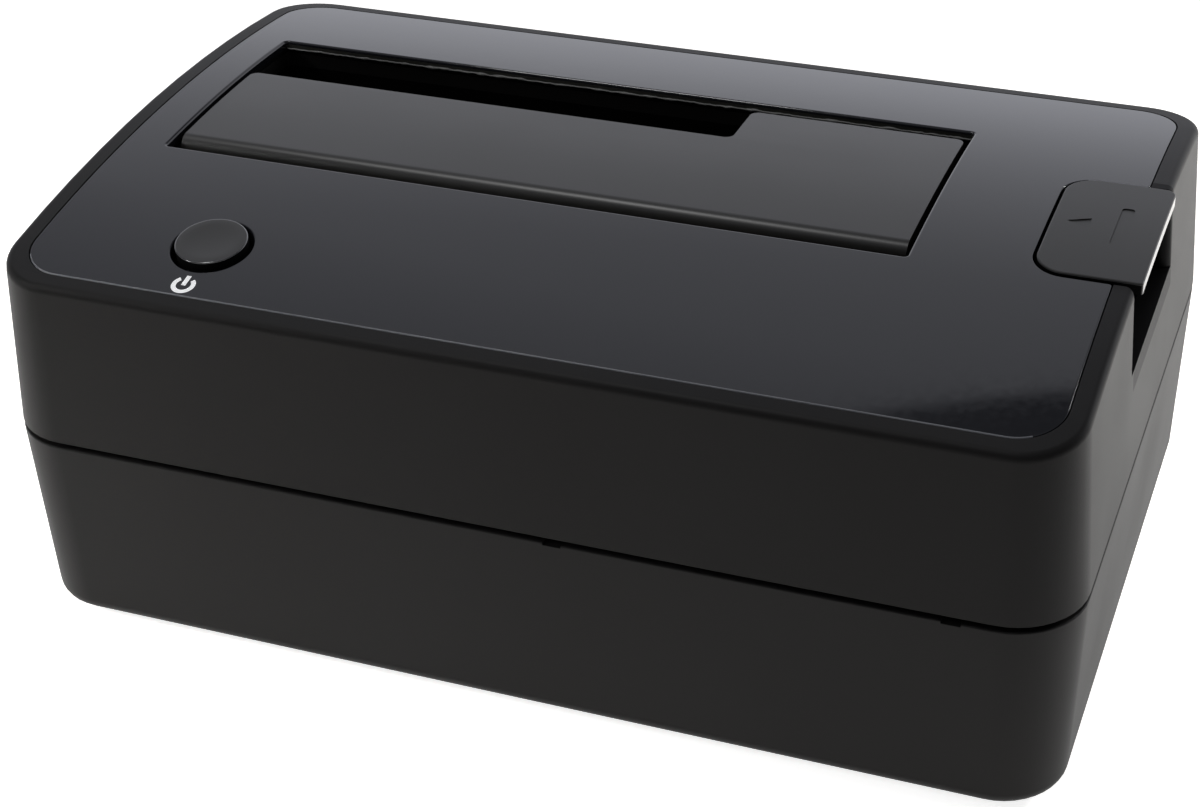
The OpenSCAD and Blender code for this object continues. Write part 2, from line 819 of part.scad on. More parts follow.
// Flap: curved plate with a rounded front edge, ribs and hinge lugs
module flap_plan() {
    soft_rect(flap_x0, flap_y0 + flap_roll_r, flap_x1, slot_y, flap_corner_r);
    translate([flap_x0, flap_y0 + flap_roll_r]) square([flap_x1 - flap_x0, flap_corner_r]);
    soft_rect(slot_x, flap_y0 + flap_roll_r, flap_x1, flap_y1, flap_corner_r);
    translate([slot_x - flap_corner_r, slot_y - flap_corner_r])
        difference() {
            square([flap_corner_r, 2*flap_corner_r]);
            translate([0, 2*flap_corner_r]) circle(flap_corner_r);
        }
}
module flap_rib_plan() {
    for (y = [hinge_y + rib_in, slot_y - rib_edge - rib_t])
        translate([flap_x0 + rib_edge, y]) square([flap_x1 - flap_x0 - 2*rib_edge, rib_t]);
    translate([slot_x + rib_edge, flap_y1 - rib_edge - rib_t])
        square([flap_x1 - slot_x - 2*rib_edge, rib_t]);
    for (x = [slot_x + rib_edge, flap_x1 - rib_edge - rib_t])
        translate([x, hinge_y + rib_in]) square([rib_t, flap_y1 - rib_edge - hinge_y - rib_in]);
    translate([flap_x0 + rib_edge, hinge_y + rib_in]) square([rib_t, slot_y - rib_edge - hinge_y - rib_in]);
}
function lug_places() = [
    flap_x0 + lug_in,
    (flap_x0 + flap_x1)/2 - lug_w/2,
    flap_x1 - lug_in - lug_w
];
module flap_front_edge() {
    y = flap_y0 + flap_roll_r;
    z = top_z(y, flap_recess) - flap_roll_r;
    intersection() {
        along_x(flap_x0, flap_x1, y, z, flap_roll_r);
        block([flap_x0 - over, flap_y0 - over, z], [flap_x1 + over, y + over, z + 2*flap_roll_r]);
    }
}
module flap() {
    color("#46453f")
        difference() {
            union() {
                arch_sheet(flap_recess, flap_recess + flap_t) flap_plan();
                flap_front_edge();
                arch_sheet(flap_recess + flap_t/2, flap_recess + flap_t + rib_h) flap_rib_plan();
                intersection() {
                    union() {
                        for (x = lug_places()) {
                            along_x(x, x + lug_w, hinge_y, hinge_z, lug_r);
                            block([x, flap_y0 + lug_edge, hinge_z],
                                [x + lug_w, hinge_y + lug_r, hinge_z + hinge_drop]);
                        }
                    }
                    under_arch(flap_recess + flap_t/2);
                }
            }
            along_x(flap_x0 - over, flap_x1 + over, hinge_y, hinge_z, hinge_pin_d/2 + running);
        }
}
module flap_hinge_pin() {
    color("#a8a8a6")
        along_x(bay_x0 - bay_wall, bay_x1 + bay_wall, hinge_y, hinge_z, hinge_pin_d/2);
}

// Torsion spring round the hinge pin, with one leg down the bay wall and one under the flap's first rib
function flap_spring_path(x, way) =
    let (
        steps = 8*flap_turns + 2,
        coil = [
            for (i = [0:steps])
                let (a = 180 - 45*i)
                [x + way*flap_pitch*i/8, hinge_y + flap_coil_r*cos(a), hinge_z + flap_coil_r*sin(a)]
        ],
        rest = flap_wire_d/2 + seat,
        rib_y = hinge_y + rib_in + rib_t/2,
        rib_z = top_z(rib_y, flap_recess + flap_t + rib_h),
        low = [coil[0][0], bay_y0 + rest, hinge_z - flap_leg_l],
        out = [coil[steps][0], rib_y, rib_z - rest]
    )
    concat([low], coil, [out]);
module flap_springs() {
    color("#b0b0ae") {
        left = flap_spring_path(flap_x0 + lug_in + lug_w + flap_spring_side, 1);
        right = flap_spring_path(flap_x1 - lug_in - lug_w - flap_spring_side, -1);
        echo(flap_spring_gap = least_gap(left, flap_wire_d, 5));
        wire(left, flap_wire_d/2, [1, 0, 0]);
        wire(right, flap_wire_d/2, [1, 0, 0]);
    }
}

// Eject tab with its push stem, its spring seat and the skirt that closes the recess
module eject_button() {
    box = [tab_x0, tab_y0, tab_x1, tab_y1];
    corners = [tab_outer_r, tab_outer_r, tab_corner_r, tab_corner_r];
    rounding = [
        for (i = [0:rounding_steps])
            let (a = 90*i/rounding_steps)
            arch_ring(box, corners, tab_edge_r*(1 - cos(a)), tab_edge_r*(1 - sin(a)) - tab_proud)
    ];
    color("#3a3a38")
        difference() {
            union() {
                loft(concat([arch_ring(box, corners, 0, tab_t - tab_proud)], rounding));
                intersection() {
                    union() {
                        upright(stem_x, tab_y, stem_z, crown_z, stem_d);
                        upright(stem_x, tab_y, spring_z1, crown_z, 2*spring_bore_r);
                        block(
                            [tab_skirt_x0, skirt_y0, pocket_z - tab_skirt_over],
                            [tab_skirt_x1, skirt_y1, crown_z]
                        );
                    }
                    under_arch(tab_t/2 - tab_proud);
                }
            }
            difference() {
                upright(stem_x, tab_y, clip_z - seat, clip_z + clip_t + seat, stem_d + over);
                upright(stem_x, tab_y, clip_z - over, clip_z + clip_t + over, stem_d - 2*clip_groove);
            }
        }
}
module eject_clip() {
    color("#8f8f8d")
        difference() {
            upright(stem_x, tab_y, clip_z, clip_z + clip_t, stem_d + 2*clip_out);
            upright(stem_x, tab_y, clip_z - over, clip_z + clip_t + over, stem_d - 2*clip_groove + 2*seat);
            block([stem_x, tab_y - stem_d/4, clip_z - over],
                [stem_x + stem_d + clip_out, tab_y + stem_d/4, clip_z + clip_t + over]);
        }
}
module eject_spring() {
    steps = 8*eject_turns;
    rise = spring_z1 - spring_z0 - eject_wire_d - 2*seat;
    path = [
        for (i = [0:steps])
            [stem_x + spring_r*cos(45*i), tab_y + spring_r*sin(45*i),
                spring_z0 + eject_wire_d/2 + seat + rise*i/steps]
    ];
    echo(eject_spring_gap = least_gap(path, eject_wire_d, 4));
    color("#b0b0ae") wire(path, eject_wire_d/2, [0, 0, 1]);
}

// See-saw: the stem pushes the pad down and the nose lifts the drive
module ejector_arm() {
    color("#d8d6cf")
        difference() {
            union() {
                along_y(pivot_y0, pivot_y1, pivot_x, pivot_z, hub_r);
                translate([pivot_x, 0, pivot_z])
                    rotate([0, -pad_angle, 0]) {
                        block([0, tab_y - arm_w/2, -arm_t/2], [pad_l, tab_y + arm_w/2, arm_t/2]);
                        along_y(tab_y - arm_w/2, tab_y + arm_w/2, pad_l, 0, pad_r);
                    }
                translate([pivot_x, 0, pivot_z])
                    rotate([0, nose_angle, 0]) {
                        block([-nose_l, arm_y - arm_w/2, -arm_t/2], [0, arm_y + arm_w/2, arm_t/2]);
                        along_y(arm_y - arm_w/2, arm_y + arm_w/2, -nose_l, 0, nose_r);
                    }
            }
            along_y(pivot_y0 - over, pivot_y1 + over, pivot_x, pivot_z, pivot_pin_d/2 + running);
        }
}
module ejector_pivot_pin() {
    reach = pivot_post_gap + pivot_post_t;
    color("#a8a8a6")
        along_y(pivot_y0 - reach, pivot_y1 + reach, pivot_x, pivot_z, pivot_pin_d/2);
}

// Power button: dished cap, skirt with a stop flange, and the stem that works the switch
module power_button() {
    r = button_d/2;
    edge = button_edge;
    dish_r = (dish_d*dish_d/4 + dish_depth*dish_depth)/(2*dish_depth);
    color("#2f2f2e")
        at_button()
            difference() {
                union() {
                    rotate_extrude() {
                        translate([0, skirt_low]) square([r - edge, button_proud - skirt_low]);
                        translate([0, skirt_low]) square([r, button_proud - edge - skirt_low]);
                        translate([r - edge, button_proud - edge])
                            intersection() {
                                circle(edge);
                                square(edge);
                            }
                    }
                    upright(0, 0, skirt_low, skirt_low + flange_t, button_d + 2*button_gap + 2*flange_out);
                }
                translate([0, 0, button_proud - dish_depth + dish_r]) sphere(dish_r, $fn = 180);
                difference() {
                    upright(0, 0, skirt_low - over, button_proud - cap_t, button_d - 2*skirt_t);
                    upright(0, 0, skirt_low - 2*over, button_proud, button_stem_d);
                }
            }
    color("#2f2f2e")
        at_button()
            upright(0, 0, plunger_top, skirt_low + flange_t/2, button_stem_d);
}
module switch_plunger() {
    color("#e4e2dc")
        at_button()
            upright(0, 0, switch_top - plunger_in, plunger_top, plunger_d);
}
module power_switch() {
    color("#1f1f1f")
        at_button()
            difference() {
                union() {
                    block([-switch_side/2, -switch_side/2, switch_board_z],
                        [switch_side/2, switch_side/2, switch_board_z + switch_h]);
                    upright(0, 0, switch_board_z + switch_h/2, switch_top, plunger_d + 2*switch_collar_t);
                }
                upright(0, 0, switch_top - plunger_in - press_travel - plunger_room, switch_top + over,
                    plunger_d + 2*running);
            }
}
module switch_board() {
    color("#1d5b38")
        at_button()
            difference() {
                block([-switch_board_l/2, -switch_board_d/2, switch_board_z - switch_board_t],
                    [switch_board_l/2, switch_board_d/2, switch_board_z]);
                for (x = [-switch_post_x, switch_post_x])
                    upright(x, 0, switch_board_z - switch_board_t - over, switch_board_z + over,
                        switch_screw_d + head_clear);
            }
}
module status_led() {
    color("#b9d2e6")
        at_button()
            translate([switch_side/2 + led_d/2 + led_gap, led_y, switch_board_z]) {
                cylinder(d = led_d, h = led_h);
                translate([0, 0, led_h]) sphere(d = led_d);
                cylinder(d = led_d + 2*led_rim, h = 2*led_rim);
            }
}

// Header blocks of the switch lead, and the flat lead between them
module cable_headers() {
    color("#e9e5d6") {
        at_button()
            block([-header_size[0]/2, header_y - header_size[1]/2, header_low],
                [header_size[0]/2, header_y + header_size[1]/2, header_low + header_size[2]]);
        block([button_x - header_size[0]/2, main_header_y - header_size[1]/2, board_top],
            [button_x + header_size[0]/2, main_header_y + header_size[1]/2, board_top + header_size[2]]);
    }
}
module switch_cable() {
    steps = 20;
    bend = 9;
    start = [
        button_y + header_y*cos(button_tilt) - header_low*sin(button_tilt),
        top_z(button_y) + header_y*sin(button_tilt) + header_low*cos(button_tilt)
    ];
    leave = bend*[sin(button_tilt), -cos(button_tilt)];
    end = [main_header_y, board_top + header_size[2]];
    arrive = bend*[0, 1];
    function at(t) = pow(1 - t, 3)*start + 3*t*pow(1 - t, 2)*(start + leave)
        + 3*t*t*(1 - t)*(end + arrive) + t*t*t*end;
    function square_to(t) =
        let (d = at(t + 0.01) - at(t - 0.01))
        [-d[1], d[0]]/norm(d);
    edge = function (side) [for (i = [0:steps]) at(i/steps) + side*cable_t/2*square_to(i/steps)];
    front = edge(1);
    back = edge(-1);
    color("#cfcfcf")
        translate([button_x - cable_w/2, 0, 0])
            rotate([90, 0, 90])
                linear_extrude(cable_w)
                    polygon(concat(front, [for (i = [steps:-1:0]) back[i]]));
}

// Main board with its corner notches for the screw posts
module main_board() {
    room = post_d/2 + board_gap;
    color("#1d5b38")
        difference() {
            block([board_x0, board_y0, board_z], [board_x1, board_y1, board_top]);
            for (side = [-1, 1])
                block([board_x0 - over, side*post_y - (side > 0 ? room : far), board_z - over],
                    [-post_x + room, side*post_y + (side > 0 ? far : room), board_top + over]);
            for (p = standoff_places)
                upright(p[0], p[1], board_z - over, board_top + over, small_screw_d + 2*head_clear);
        }
}

// Drive connector: a signal slot and a power slot, with the contacts along one wall
module sata_connector() {
    post_rise = 1.6;
    post_l = sata_end - key_w;
    front = sata_y - slot_room/2;
    back = sata_y + slot_room/2;
    top = board_top + sata_h;
    color("#161616")
        difference() {
            union() {
                block([sata_x0, sata_y - sata_d/2, board_top], [sata_x0 + sata_l, sata_y + sata_d/2, top]);
                for (x = [sata_x0, sata_x0 + sata_l - post_l])
                    block([x, sata_y - sata_d/4, board_top],
                        [x + post_l, sata_y + sata_d/4, top + post_rise]);
            }
            block([signal_x, front, sata_slot_z], [signal_x + signal_l, back, top + over]);
            block([power_x, front, sata_slot_z], [power_x + power_l, back, top + over]);
            for (x = [signal_x, power_x])
                block([x, front, sata_slot_z], [x + key_w, back + key_w, top + over]);
        }
}
module contact(x) {
    front = sata_y - slot_room/2;
    block([x - contact_w/2, front, sata_slot_z],
        [x + contact_w/2, front + contact_t, sata_slot_z + contact_h]);
}
module sata_contacts() {
    color("#d9b65c") {
        for (i = [0:signal_count - 1]) contact(signal_x + key_w/2 + contact_pitch*(i + 0.5));
        for (i = [0:power_count - 1]) contact(power_x + key_w/2 + contact_pitch*(i + 0.5));
    }
}

// Square data port: metal shell round a moulded core with its tongue
module usb_port_shell() {
    half = usb_size[0]/2;
    color("#b9b9b6")
        difference() {
            block([usb_x - half, port_face - usb_size[1], board_top],
                [usb_x + half, port_face, board_top + usb_size[2]]);
            block([usb_x - half + usb_skin, port_face - usb_size[1] + usb_skin, board_top + usb_skin],
                [usb_x + half - usb_skin, port_face + over, board_top + usb_size[2] - usb_skin]);
        }
}
module usb_mouth_plan() {
    cut = 1.9;
    w = usb_mouth[0]/2;
    h = usb_mouth[2]/2;
    polygon([[-w, -h], [w, -h], [w, h - cut], [w - cut, h], [-w + cut, h], [-w, h - cut]]);
}
module usb_port_core() {
    half = usb_size[0]/2 - usb_skin;
    tongue = usb_tongue/2;
    mid_z = board_top + usb_size[2]/2;
    face = port_face - usb_core_in;
    root = face - usb_mouth[1];
    color("#f0eee6")
        difference() {
            block([usb_x - half, port_face - usb_size[1] + usb_skin, board_top + usb_skin],
                [usb_x + half, face, board_top + usb_size[2] - usb_skin]);
            difference() {
                translate([usb_x, face + over, mid_z])
                    rotate([90, 0, 0])
                        linear_extrude(usb_mouth[1] + over) usb_mouth_plan();
                block([usb_x - tongue[0], root - over, mid_z - tongue[2]],
                    [usb_x + tongue[0], root + usb_tongue[1], mid_z + tongue[2]]);
            }
        }
}

// Round power inlet with its centre pin
module dc_jack() {
    half = dc_size[0]/2;
    color("#1a1a1a")
        difference() {
            block([dc_x - half, port_face - dc_size[1], board_top],
                [dc_x + half, port_face, board_top + dc_size[2]]);
            along_y(port_face - dc_depth, port_face + over, dc_x, board_top + dc_axis_h, dc_hole_d/2);
        }
}
module dc_jack_pin() {
    color("#c8c6c0")
        along_y(port_face - dc_depth, port_face - dc_pin_in, dc_x, board_top + dc_axis_h, dc_pin_d/2);
}

// Parts soldered on the main board; the flat ones lie under the bay
module bridge_chip() {
    half = chip_side/2;
    middle = (chip_leads - 1)/2;
    color("#1b1b1d")
        translate([chip_x, chip_y, board_top]) {
            block([-half, -half, chip_stand], [half, half, chip_h]);
            for (turn = [0:90:270], i = [0:chip_leads - 1])
                rotate([0, 0, turn])
                    translate([half - chip_lead_root, (i - middle)*chip_lead_pitch - chip_lead[1]/2, 0])
                        cube(chip_lead + [chip_lead_root, 0, 0]);
        }
}
module capacitors() {
    score_w = 0.3;
    score_depth = 0.25;
    score_in = 0.8;
    score_l = can_d - 2*score_in;
    places = [
        [board_x1 - can_in, main_header_y],
        [board_x1 - can_in - can_pitch, main_header_y],
        [(dc_x + usb_x)/2, port_face - port_can_in]
    ];
    color("#9fa1a5")
        for (p = places)
            translate([p[0], p[1], board_top])
                difference() {
                    cylinder(d = can_d, h = can_h);
                    for (a = [0, 60, 120])
                        rotate([0, 0, a])
                            block([-score_l/2, -score_w/2, can_h - score_depth],
                                [score_l/2, score_w/2, can_h + over]);
                }
}
module inductor() {
    half = coil_side/2;
    color("#3b3b3d")
        translate([chip_x, board_y0 + coil_front, board_top]) {
            block([-half, -half, 0], [half, half, coil_base_t]);
            cylinder(d = coil_d, h = coil_h);
        }
}
module crystal() {
    color("#c4c4c2")
        translate([chip_x - crystal_size[0]/2, crystal_y, board_top])
            linear_extrude(crystal_size[2])
                soft_rect(0, 0, crystal_size[0], crystal_size[1], crystal_r);
}

// Pan-head screws; z is the seat of the head, up is +1 or -1 along the thread
module screw(z, thread_d, bite, pan_d, pan_h, up = 1) {
    cross_w = pan_d/6;
    cross_l = 0.6*pan_d;
    translate([0, 0, z])
        mirror([0, 0, up > 0 ? 0 : 1])
            difference() {
                union() {
                    cylinder(d = thread_d, h = bite);
                    translate([0, 0, -pan_h]) cylinder(d = pan_d, h = pan_h);
                }
                for (a = [0, 90])
                    rotate([0, 0, a])
                        block([-cross_l/2, -cross_w/2, -pan_h - over], [cross_l/2, cross_w/2, -pan_h/2]);
            }
}
module case_screws() {
    color("#6f6f70")
        at_posts()
            screw(head_seat_z, case_screw_d, post_z - head_seat_z + screw_bite, head_d, head_h);
}
module bay_screws() {
    color("#6f6f70")
        at_ears()
            screw(ear_z - ear_t, small_screw_d, ear_t + bay_bite, small_head_d, small_head_h);
}
module board_screws() {
    color("#6f6f70")
        for (p = standoff_places)
            translate([p[0], p[1], 0])
                screw(board_top, small_screw_d, board_t + board_bite, small_head_d, small_head_h, -1);
}
module switch_screws() {
    color("#6f6f70")
        at_button()
            for (x = [-switch_post_x, switch_post_x])
                translate([x, 0, 0])
                    screw(switch_board_z - switch_board_t, switch_screw_d, switch_board_t + switch_bite,
                        switch_head_d, small_head_h);
}

// Feet pressed into shallow seats in the underside
module rubber_feet() {
    edge = 0.4;
    color("#191919")
        at_feet() {
            upright(0, 0, edge, base_z + foot_seat, foot_d);
            cylinder(d1 = foot_d - 2*edge, d2 = foot_d, h = edge);
        }
}

upper_case();
lower_case();
top_panel();
bay_frame();
flap();
flap_hinge_pin();
flap_springs();
eject_button();
eject_clip();
eject_spring();
ejector_arm();
ejector_pivot_pin();
power_button();
switch_plunger();
power_switch();
switch_board();
status_led();
switch_cable();
cable_headers();
main_board();
sata_connector();
sata_contacts();
usb_port_shell();
usb_port_core();
dc_jack();
dc_jack_pin();
bridge_chip();
capacitors();
inductor();
crystal();
case_screws();
bay_screws();
board_screws();
switch_screws();
rubber_feet();
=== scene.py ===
import math

import bpy
from mathutils import Matrix, Vector, geometry, noise as field


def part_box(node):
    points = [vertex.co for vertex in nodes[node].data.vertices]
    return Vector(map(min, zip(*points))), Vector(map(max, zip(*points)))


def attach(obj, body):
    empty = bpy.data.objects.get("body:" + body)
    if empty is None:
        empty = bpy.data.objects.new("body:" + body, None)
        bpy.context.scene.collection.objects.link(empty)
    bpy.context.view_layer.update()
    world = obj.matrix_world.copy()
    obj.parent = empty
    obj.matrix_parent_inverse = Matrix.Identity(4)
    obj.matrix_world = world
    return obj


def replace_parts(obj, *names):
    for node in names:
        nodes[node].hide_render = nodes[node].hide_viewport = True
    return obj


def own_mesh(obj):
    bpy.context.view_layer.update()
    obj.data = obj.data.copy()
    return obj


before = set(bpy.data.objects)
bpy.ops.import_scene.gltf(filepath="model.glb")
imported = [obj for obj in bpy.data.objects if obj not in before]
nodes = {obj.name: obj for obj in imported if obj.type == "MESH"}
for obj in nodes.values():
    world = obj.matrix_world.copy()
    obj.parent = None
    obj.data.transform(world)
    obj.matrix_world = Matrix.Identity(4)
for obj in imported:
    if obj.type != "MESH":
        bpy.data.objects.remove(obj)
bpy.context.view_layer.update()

MM = 0.001

# Sizes and places in millimetres. Boxes are x0, y0, x1, y1, and the pocket is x0, y0, y1. Points on the
# top are x, y, while the hinge and the flap's rib are y, z.
ARCH_R = 250
TAB_PROUD = 0.3
TAB_T = 1.55
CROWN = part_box("eject_button")[1].z/MM - TAB_PROUD
PANEL_T = 1.75
SHEET_T = 1.1
PANEL_CORNER_R = 6
OPENING = (-61.5, -11.65, 42.3, 24.75)
OPENING_R = 0.5
POCKET = (57.05, -11.1, 14.6)
POCKET_R = 4.45
POCKET_FLOOR = 45.0
POCKET_MOUTH_R = 1.6
PANEL_EDGE = 0.16
OPENING_EDGE = 0.45
HOLE_EDGE = 0.3
BUTTON = (-43.9, -31.9)
BUTTON_R = 4.75
BUTTON_HOLE_R = 5.35
BUTTON_PROUD = 0.8
STEM = (61.1, 1.75)
HINGE = (-7.85, 51.477)
FLAP_COIL_R = 1.65
FLAP_COIL_PITCH = 1.1
FLAP_LEG = 9
FLAP_RIB = (-0.25, 52.9)
TAB_CORNERS = (0.4, 1.5, 4, 4)
TAB_EDGE = 0.25
TAB_ARROW = [(59.4, 1.95), (62.3, 0.65), (62.3, 3.25)]
TAB_BAR = (65.5, -2.6, 67.1, 7.1)
TAB_BAR_R = 0.5
TAB_MARK_DEPTH = 0.14

# Mirror strength of the dull plastics, where 0.5 is that of plain plastic
CASE_GLOSS = 0.145
DARK_GLOSS = 0.06
TAB_END_GLOSS = 0.3

# Studio levels
BACKDROP_LOW = 1.12
BACKDROP_HIGH = 0.70
CEILING_EDGE = (0.768, -0.405, 0.496)
CEILING_SHARE = 0.12
OVERHEAD = 0.30
FRONT = 0.02
WORLD_COLOUR = (0.970, 0.985, 1.07, 1)
FLOOR_COLOUR = (0.85, 0.82, 0.775, 1)
FLOOR_GLOW = 0.85
FLOOR_SIZE = 6
FLOOR_DROP = 0.02*MM

# Where one part of the studio gives way to the next, in parts of a unit direction
HORIZON_SPAN = (0.05, 0.1)
BACKDROP_SPAN = (0.2, 0.6)
BEHIND_SPAN = (0.15, 0.65)
OVERHEAD_SPAN = (0.6, 0.8)
CEILING_SPAN = (0.5, 0.65)
CEILING_BLUR = (-0.002, 0.004)

# Place and aim of each lamp, its width, all in metres, its watts and its spread in degrees
LAMPS = {
    "top_box": ((-0.25, -0.02, 0.80), (-0.02, -0.03, 0.05), 0.14, 1.1, 180),
    "right_box": ((0.50, 0.45, 0.25), (0.20, 0.16, 0), 0.12, 0.24, 25),
    "front_box": ((-0.60, -0.40, 0.45), (-0.18, -0.13, 0), 0.15, 0.15, 25),
}


# Camera at the photograph's viewing angle
def make_camera():
    azimuth = math.radians(21.79)
    elevation = math.radians(33.49)
    roll = math.radians(-2.46)
    distance = 348.22*MM
    target = Vector((-3.99, 0, 18.40))*MM
    back = Vector((
        math.sin(azimuth)*math.cos(elevation),
        -math.cos(azimuth)*math.cos(elevation),
        math.sin(elevation),
    ))
    right = Vector((0, 0, 1)).cross(back).normalized()
    up = back.cross(right)
    rolled_right = math.cos(roll)*right + math.sin(roll)*up
    rolled_up = -math.sin(roll)*right + math.cos(roll)*up
    data = bpy.data.cameras.new("camera")
    data.sensor_width = 36
    data.lens = 73.71
    data.clip_start = 10*MM
    data.clip_end = 20
    camera = bpy.data.objects.new("camera", data)
    bpy.context.scene.collection.objects.link(camera)
    axes = Matrix((rolled_right, rolled_up, back)).transposed().to_4x4()
    camera.matrix_world = Matrix.Translation(target + distance*back) @ axes
    bpy.context.scene.camera = camera


# Materials
def new_material(name):
    material = bpy.data.materials.new(name)
    material.use_nodes = True
    tree = material.node_tree
    return material, tree, tree.nodes["Principled BSDF"]


def add_node(tree, kind, **values):
    node = tree.nodes.new(kind)
    for key, value in values.items():
        if key in node.inputs:
            node.inputs[key].default_value = value
        else:
            setattr(node, key, value)
    return node


def object_coords(tree):
    return add_node(tree, "ShaderNodeTexCoord").outputs["Object"]


def noise(tree, coords, scale, detail=2.0, roughness=0.5):
    node = add_node(tree, "ShaderNodeTexNoise", Scale=scale, Detail=detail, Roughness=roughness)
    tree.links.new(coords, node.inputs["Vector"])
    return node.outputs["Fac"]


def ramp(tree, value, low, high, low_out, high_out):
    node = add_node(tree, "ShaderNodeMapRange")
    node.inputs["From Min"].default_value = low
    node.inputs["From Max"].default_value = high
    node.inputs["To Min"].default_value = low_out
    node.inputs["To Max"].default_value = high_out
    tree.links.new(value, node.inputs["Value"])
    return node.outputs["Result"]


def vary(tree, value, low_out, high_out):
    """Spreads a noise, which mostly lies between 0.3 and 0.7, over a range of its own."""
    return ramp(tree, value, 0.3, 0.7, low_out, high_out)


def tint(tree, value, dark, light):
    node = add_node(tree, "ShaderNodeMix", data_type="RGBA")
    tree.links.new(value, node.inputs[0])
    node.inputs[6].default_value = (*dark, 1)
    node.inputs[7].default_value = (*light, 1)
    return node.outputs[2]


def bump(tree, height, distance):
    node = add_node(tree, "ShaderNodeBump", Strength=1.0, Distance=distance)
    tree.links.new(height, node.inputs["Height"])
    return node.outputs["Normal"]


def combine(tree, operation, first, second):
    node = add_node(tree, "ShaderNodeMath", operation=operation)
    tree.links.new(first, node.inputs[0])
    tree.links.new(second, node.inputs[1])
    return node.outputs[0]


def multiply(tree, first, second):
    return combine(tree, "MULTIPLY", first, second)


def largest(tree, first, second):
    return combine(tree, "MAXIMUM", first, second)


def grey(level):
    return (level, level, level)


def moulded_plastic(name, dark, light, roughness, grain_scale, grain_depth, gloss=0.5):
    """Plastic from a finely textured mould: grain in the bump, slow drifts in colour and roughness."""
    spread = 0.03
    material, tree, shader = new_material(name)
    coords = object_coords(tree)
    slow = noise(tree, coords, 35, 3)
    grain = noise(tree, coords, grain_scale, 3, 0.6)
    colour = tint(tree, vary(tree, slow, 0, 1), dark, light)
    tree.links.new(colour, shader.inputs["Base Color"])
    tree.links.new(vary(tree, slow, roughness - spread, roughness + spread), shader.inputs["Roughness"])
    tree.links.new(bump(tree, grain, grain_depth), shader.inputs["Normal"])
    shader.inputs["Specular IOR Level"].default_value = gloss
    return material


def within(tree, value, low, high):
    """1 where the value lies between two limits in millimetres, otherwise 0."""
    above = add_node(tree, "ShaderNodeMath", operation="GREATER_THAN")
    below = add_node(tree, "ShaderNodeMath", operation="LESS_THAN")
    for node, limit in ((above, low), (below, high)):
        tree.links.new(value, node.inputs[0])
        node.inputs[1].default_value = limit*MM
    return multiply(tree, above.outputs[0], below.outputs[0])


def painted_pocket_shade(material):
    """Painted shade: makes the deep pocket under the tab black, with hardly any gloss."""
    tree = material.node_tree
    shader = tree.nodes["Principled BSDF"]
    parts = add_node(tree, "ShaderNodeSeparateXYZ")
    tree.links.new(object_coords(tree), parts.inputs[0])
    x0, y0, y1 = POCKET
    edge, past_end, below_floor = 0.03, 80, 3
    inside = multiply(
        tree,
        multiply(
            tree,
            within(tree, parts.outputs["X"], x0 - edge, past_end),
            within(tree, parts.outputs["Y"], y0 - edge, y1 + POCKET_MOUTH_R),
        ),
        within(tree, parts.outputs["Z"], POCKET_FLOOR - below_floor, CROWN),
    )
    colour = shader.inputs["Base Color"].links[0].from_socket
    dark = add_node(tree, "ShaderNodeMix", data_type="RGBA")
    tree.links.new(inside, dark.inputs[0])
    tree.links.new(colour, dark.inputs[6])
    dark.inputs[7].default_value = (*grey(0.002), 1)
    tree.links.new(dark.outputs[2], shader.inputs["Base Color"])
    gloss = ramp(tree, inside, 0, 1, CASE_GLOSS, DARK_GLOSS)
    tree.links.new(gloss, shader.inputs["Specular IOR Level"])
    return material


def gloss_plastic(name, dark, light, roughness, gloss=0.5):
    """Smooth plastic: a faint long ripple in the surface and fine changes in roughness."""
    ripple, spread = 0.03*MM, 0.05
    material, tree, shader = new_material(name)
    coords = object_coords(tree)
    slow = noise(tree, coords, 18, 2)
    fine = noise(tree, coords, 900, 2)
    colour = tint(tree, vary(tree, slow, 0, 1), dark, light)
    tree.links.new(colour, shader.inputs["Base Color"])
    tree.links.new(vary(tree, fine, roughness, roughness + spread), shader.inputs["Roughness"])
    tree.links.new(bump(tree, slow, ripple), shader.inputs["Normal"])
    shader.inputs["Specular IOR Level"].default_value = gloss
    return material


def polished(material):
    """A clear hard surface over a plastic."""
    shader = material.node_tree.nodes["Principled BSDF"]
    shader.inputs["Specular IOR Level"].default_value = 1
    shader.inputs["Coat Weight"].default_value = 1
    shader.inputs["Coat Roughness"].default_value = 0.1
    return material


def painted_glow(material, strength):
    """Painted light: the print glows, so that it stays white where little light reaches it."""
    shader = material.node_tree.nodes["Principled BSDF"]
    shader.inputs["Emission Color"].default_value = (1, 1, 1, 1)
    shader.inputs["Emission Strength"].default_value = strength
    return material


def metal(name, colour, roughness, grain_scale):
    material, tree, shader = new_material(name)
    coords = object_coords(tree)
    grain = noise(tree, coords, grain_scale, 3)
    dark = tuple(0.8*c for c in colour)
    tree.links.new(tint(tree, grain, dark, colour), shader.inputs["Base Color"])
    spread = 0.08
    tree.links.new(vary(tree, grain, roughness - spread, roughness + spread), shader.inputs["Roughness"])
    shader.inputs["Metallic"].default_value = 1
    return material


def clear_plastic(name, colour):
    material, tree, shader = new_material(name)
    coords = object_coords(tree)
    cloudy = noise(tree, coords, 400, 2)
    dark = tuple(0.9*c for c in colour)
    tree.links.new(tint(tree, cloudy, dark, colour), shader.inputs["Base Color"])
    tree.links.new(vary(tree, cloudy, 0.08, 0.16), shader.inputs["Roughness"])
    shader.inputs["Transmission Weight"].default_value = 0.8
    return material
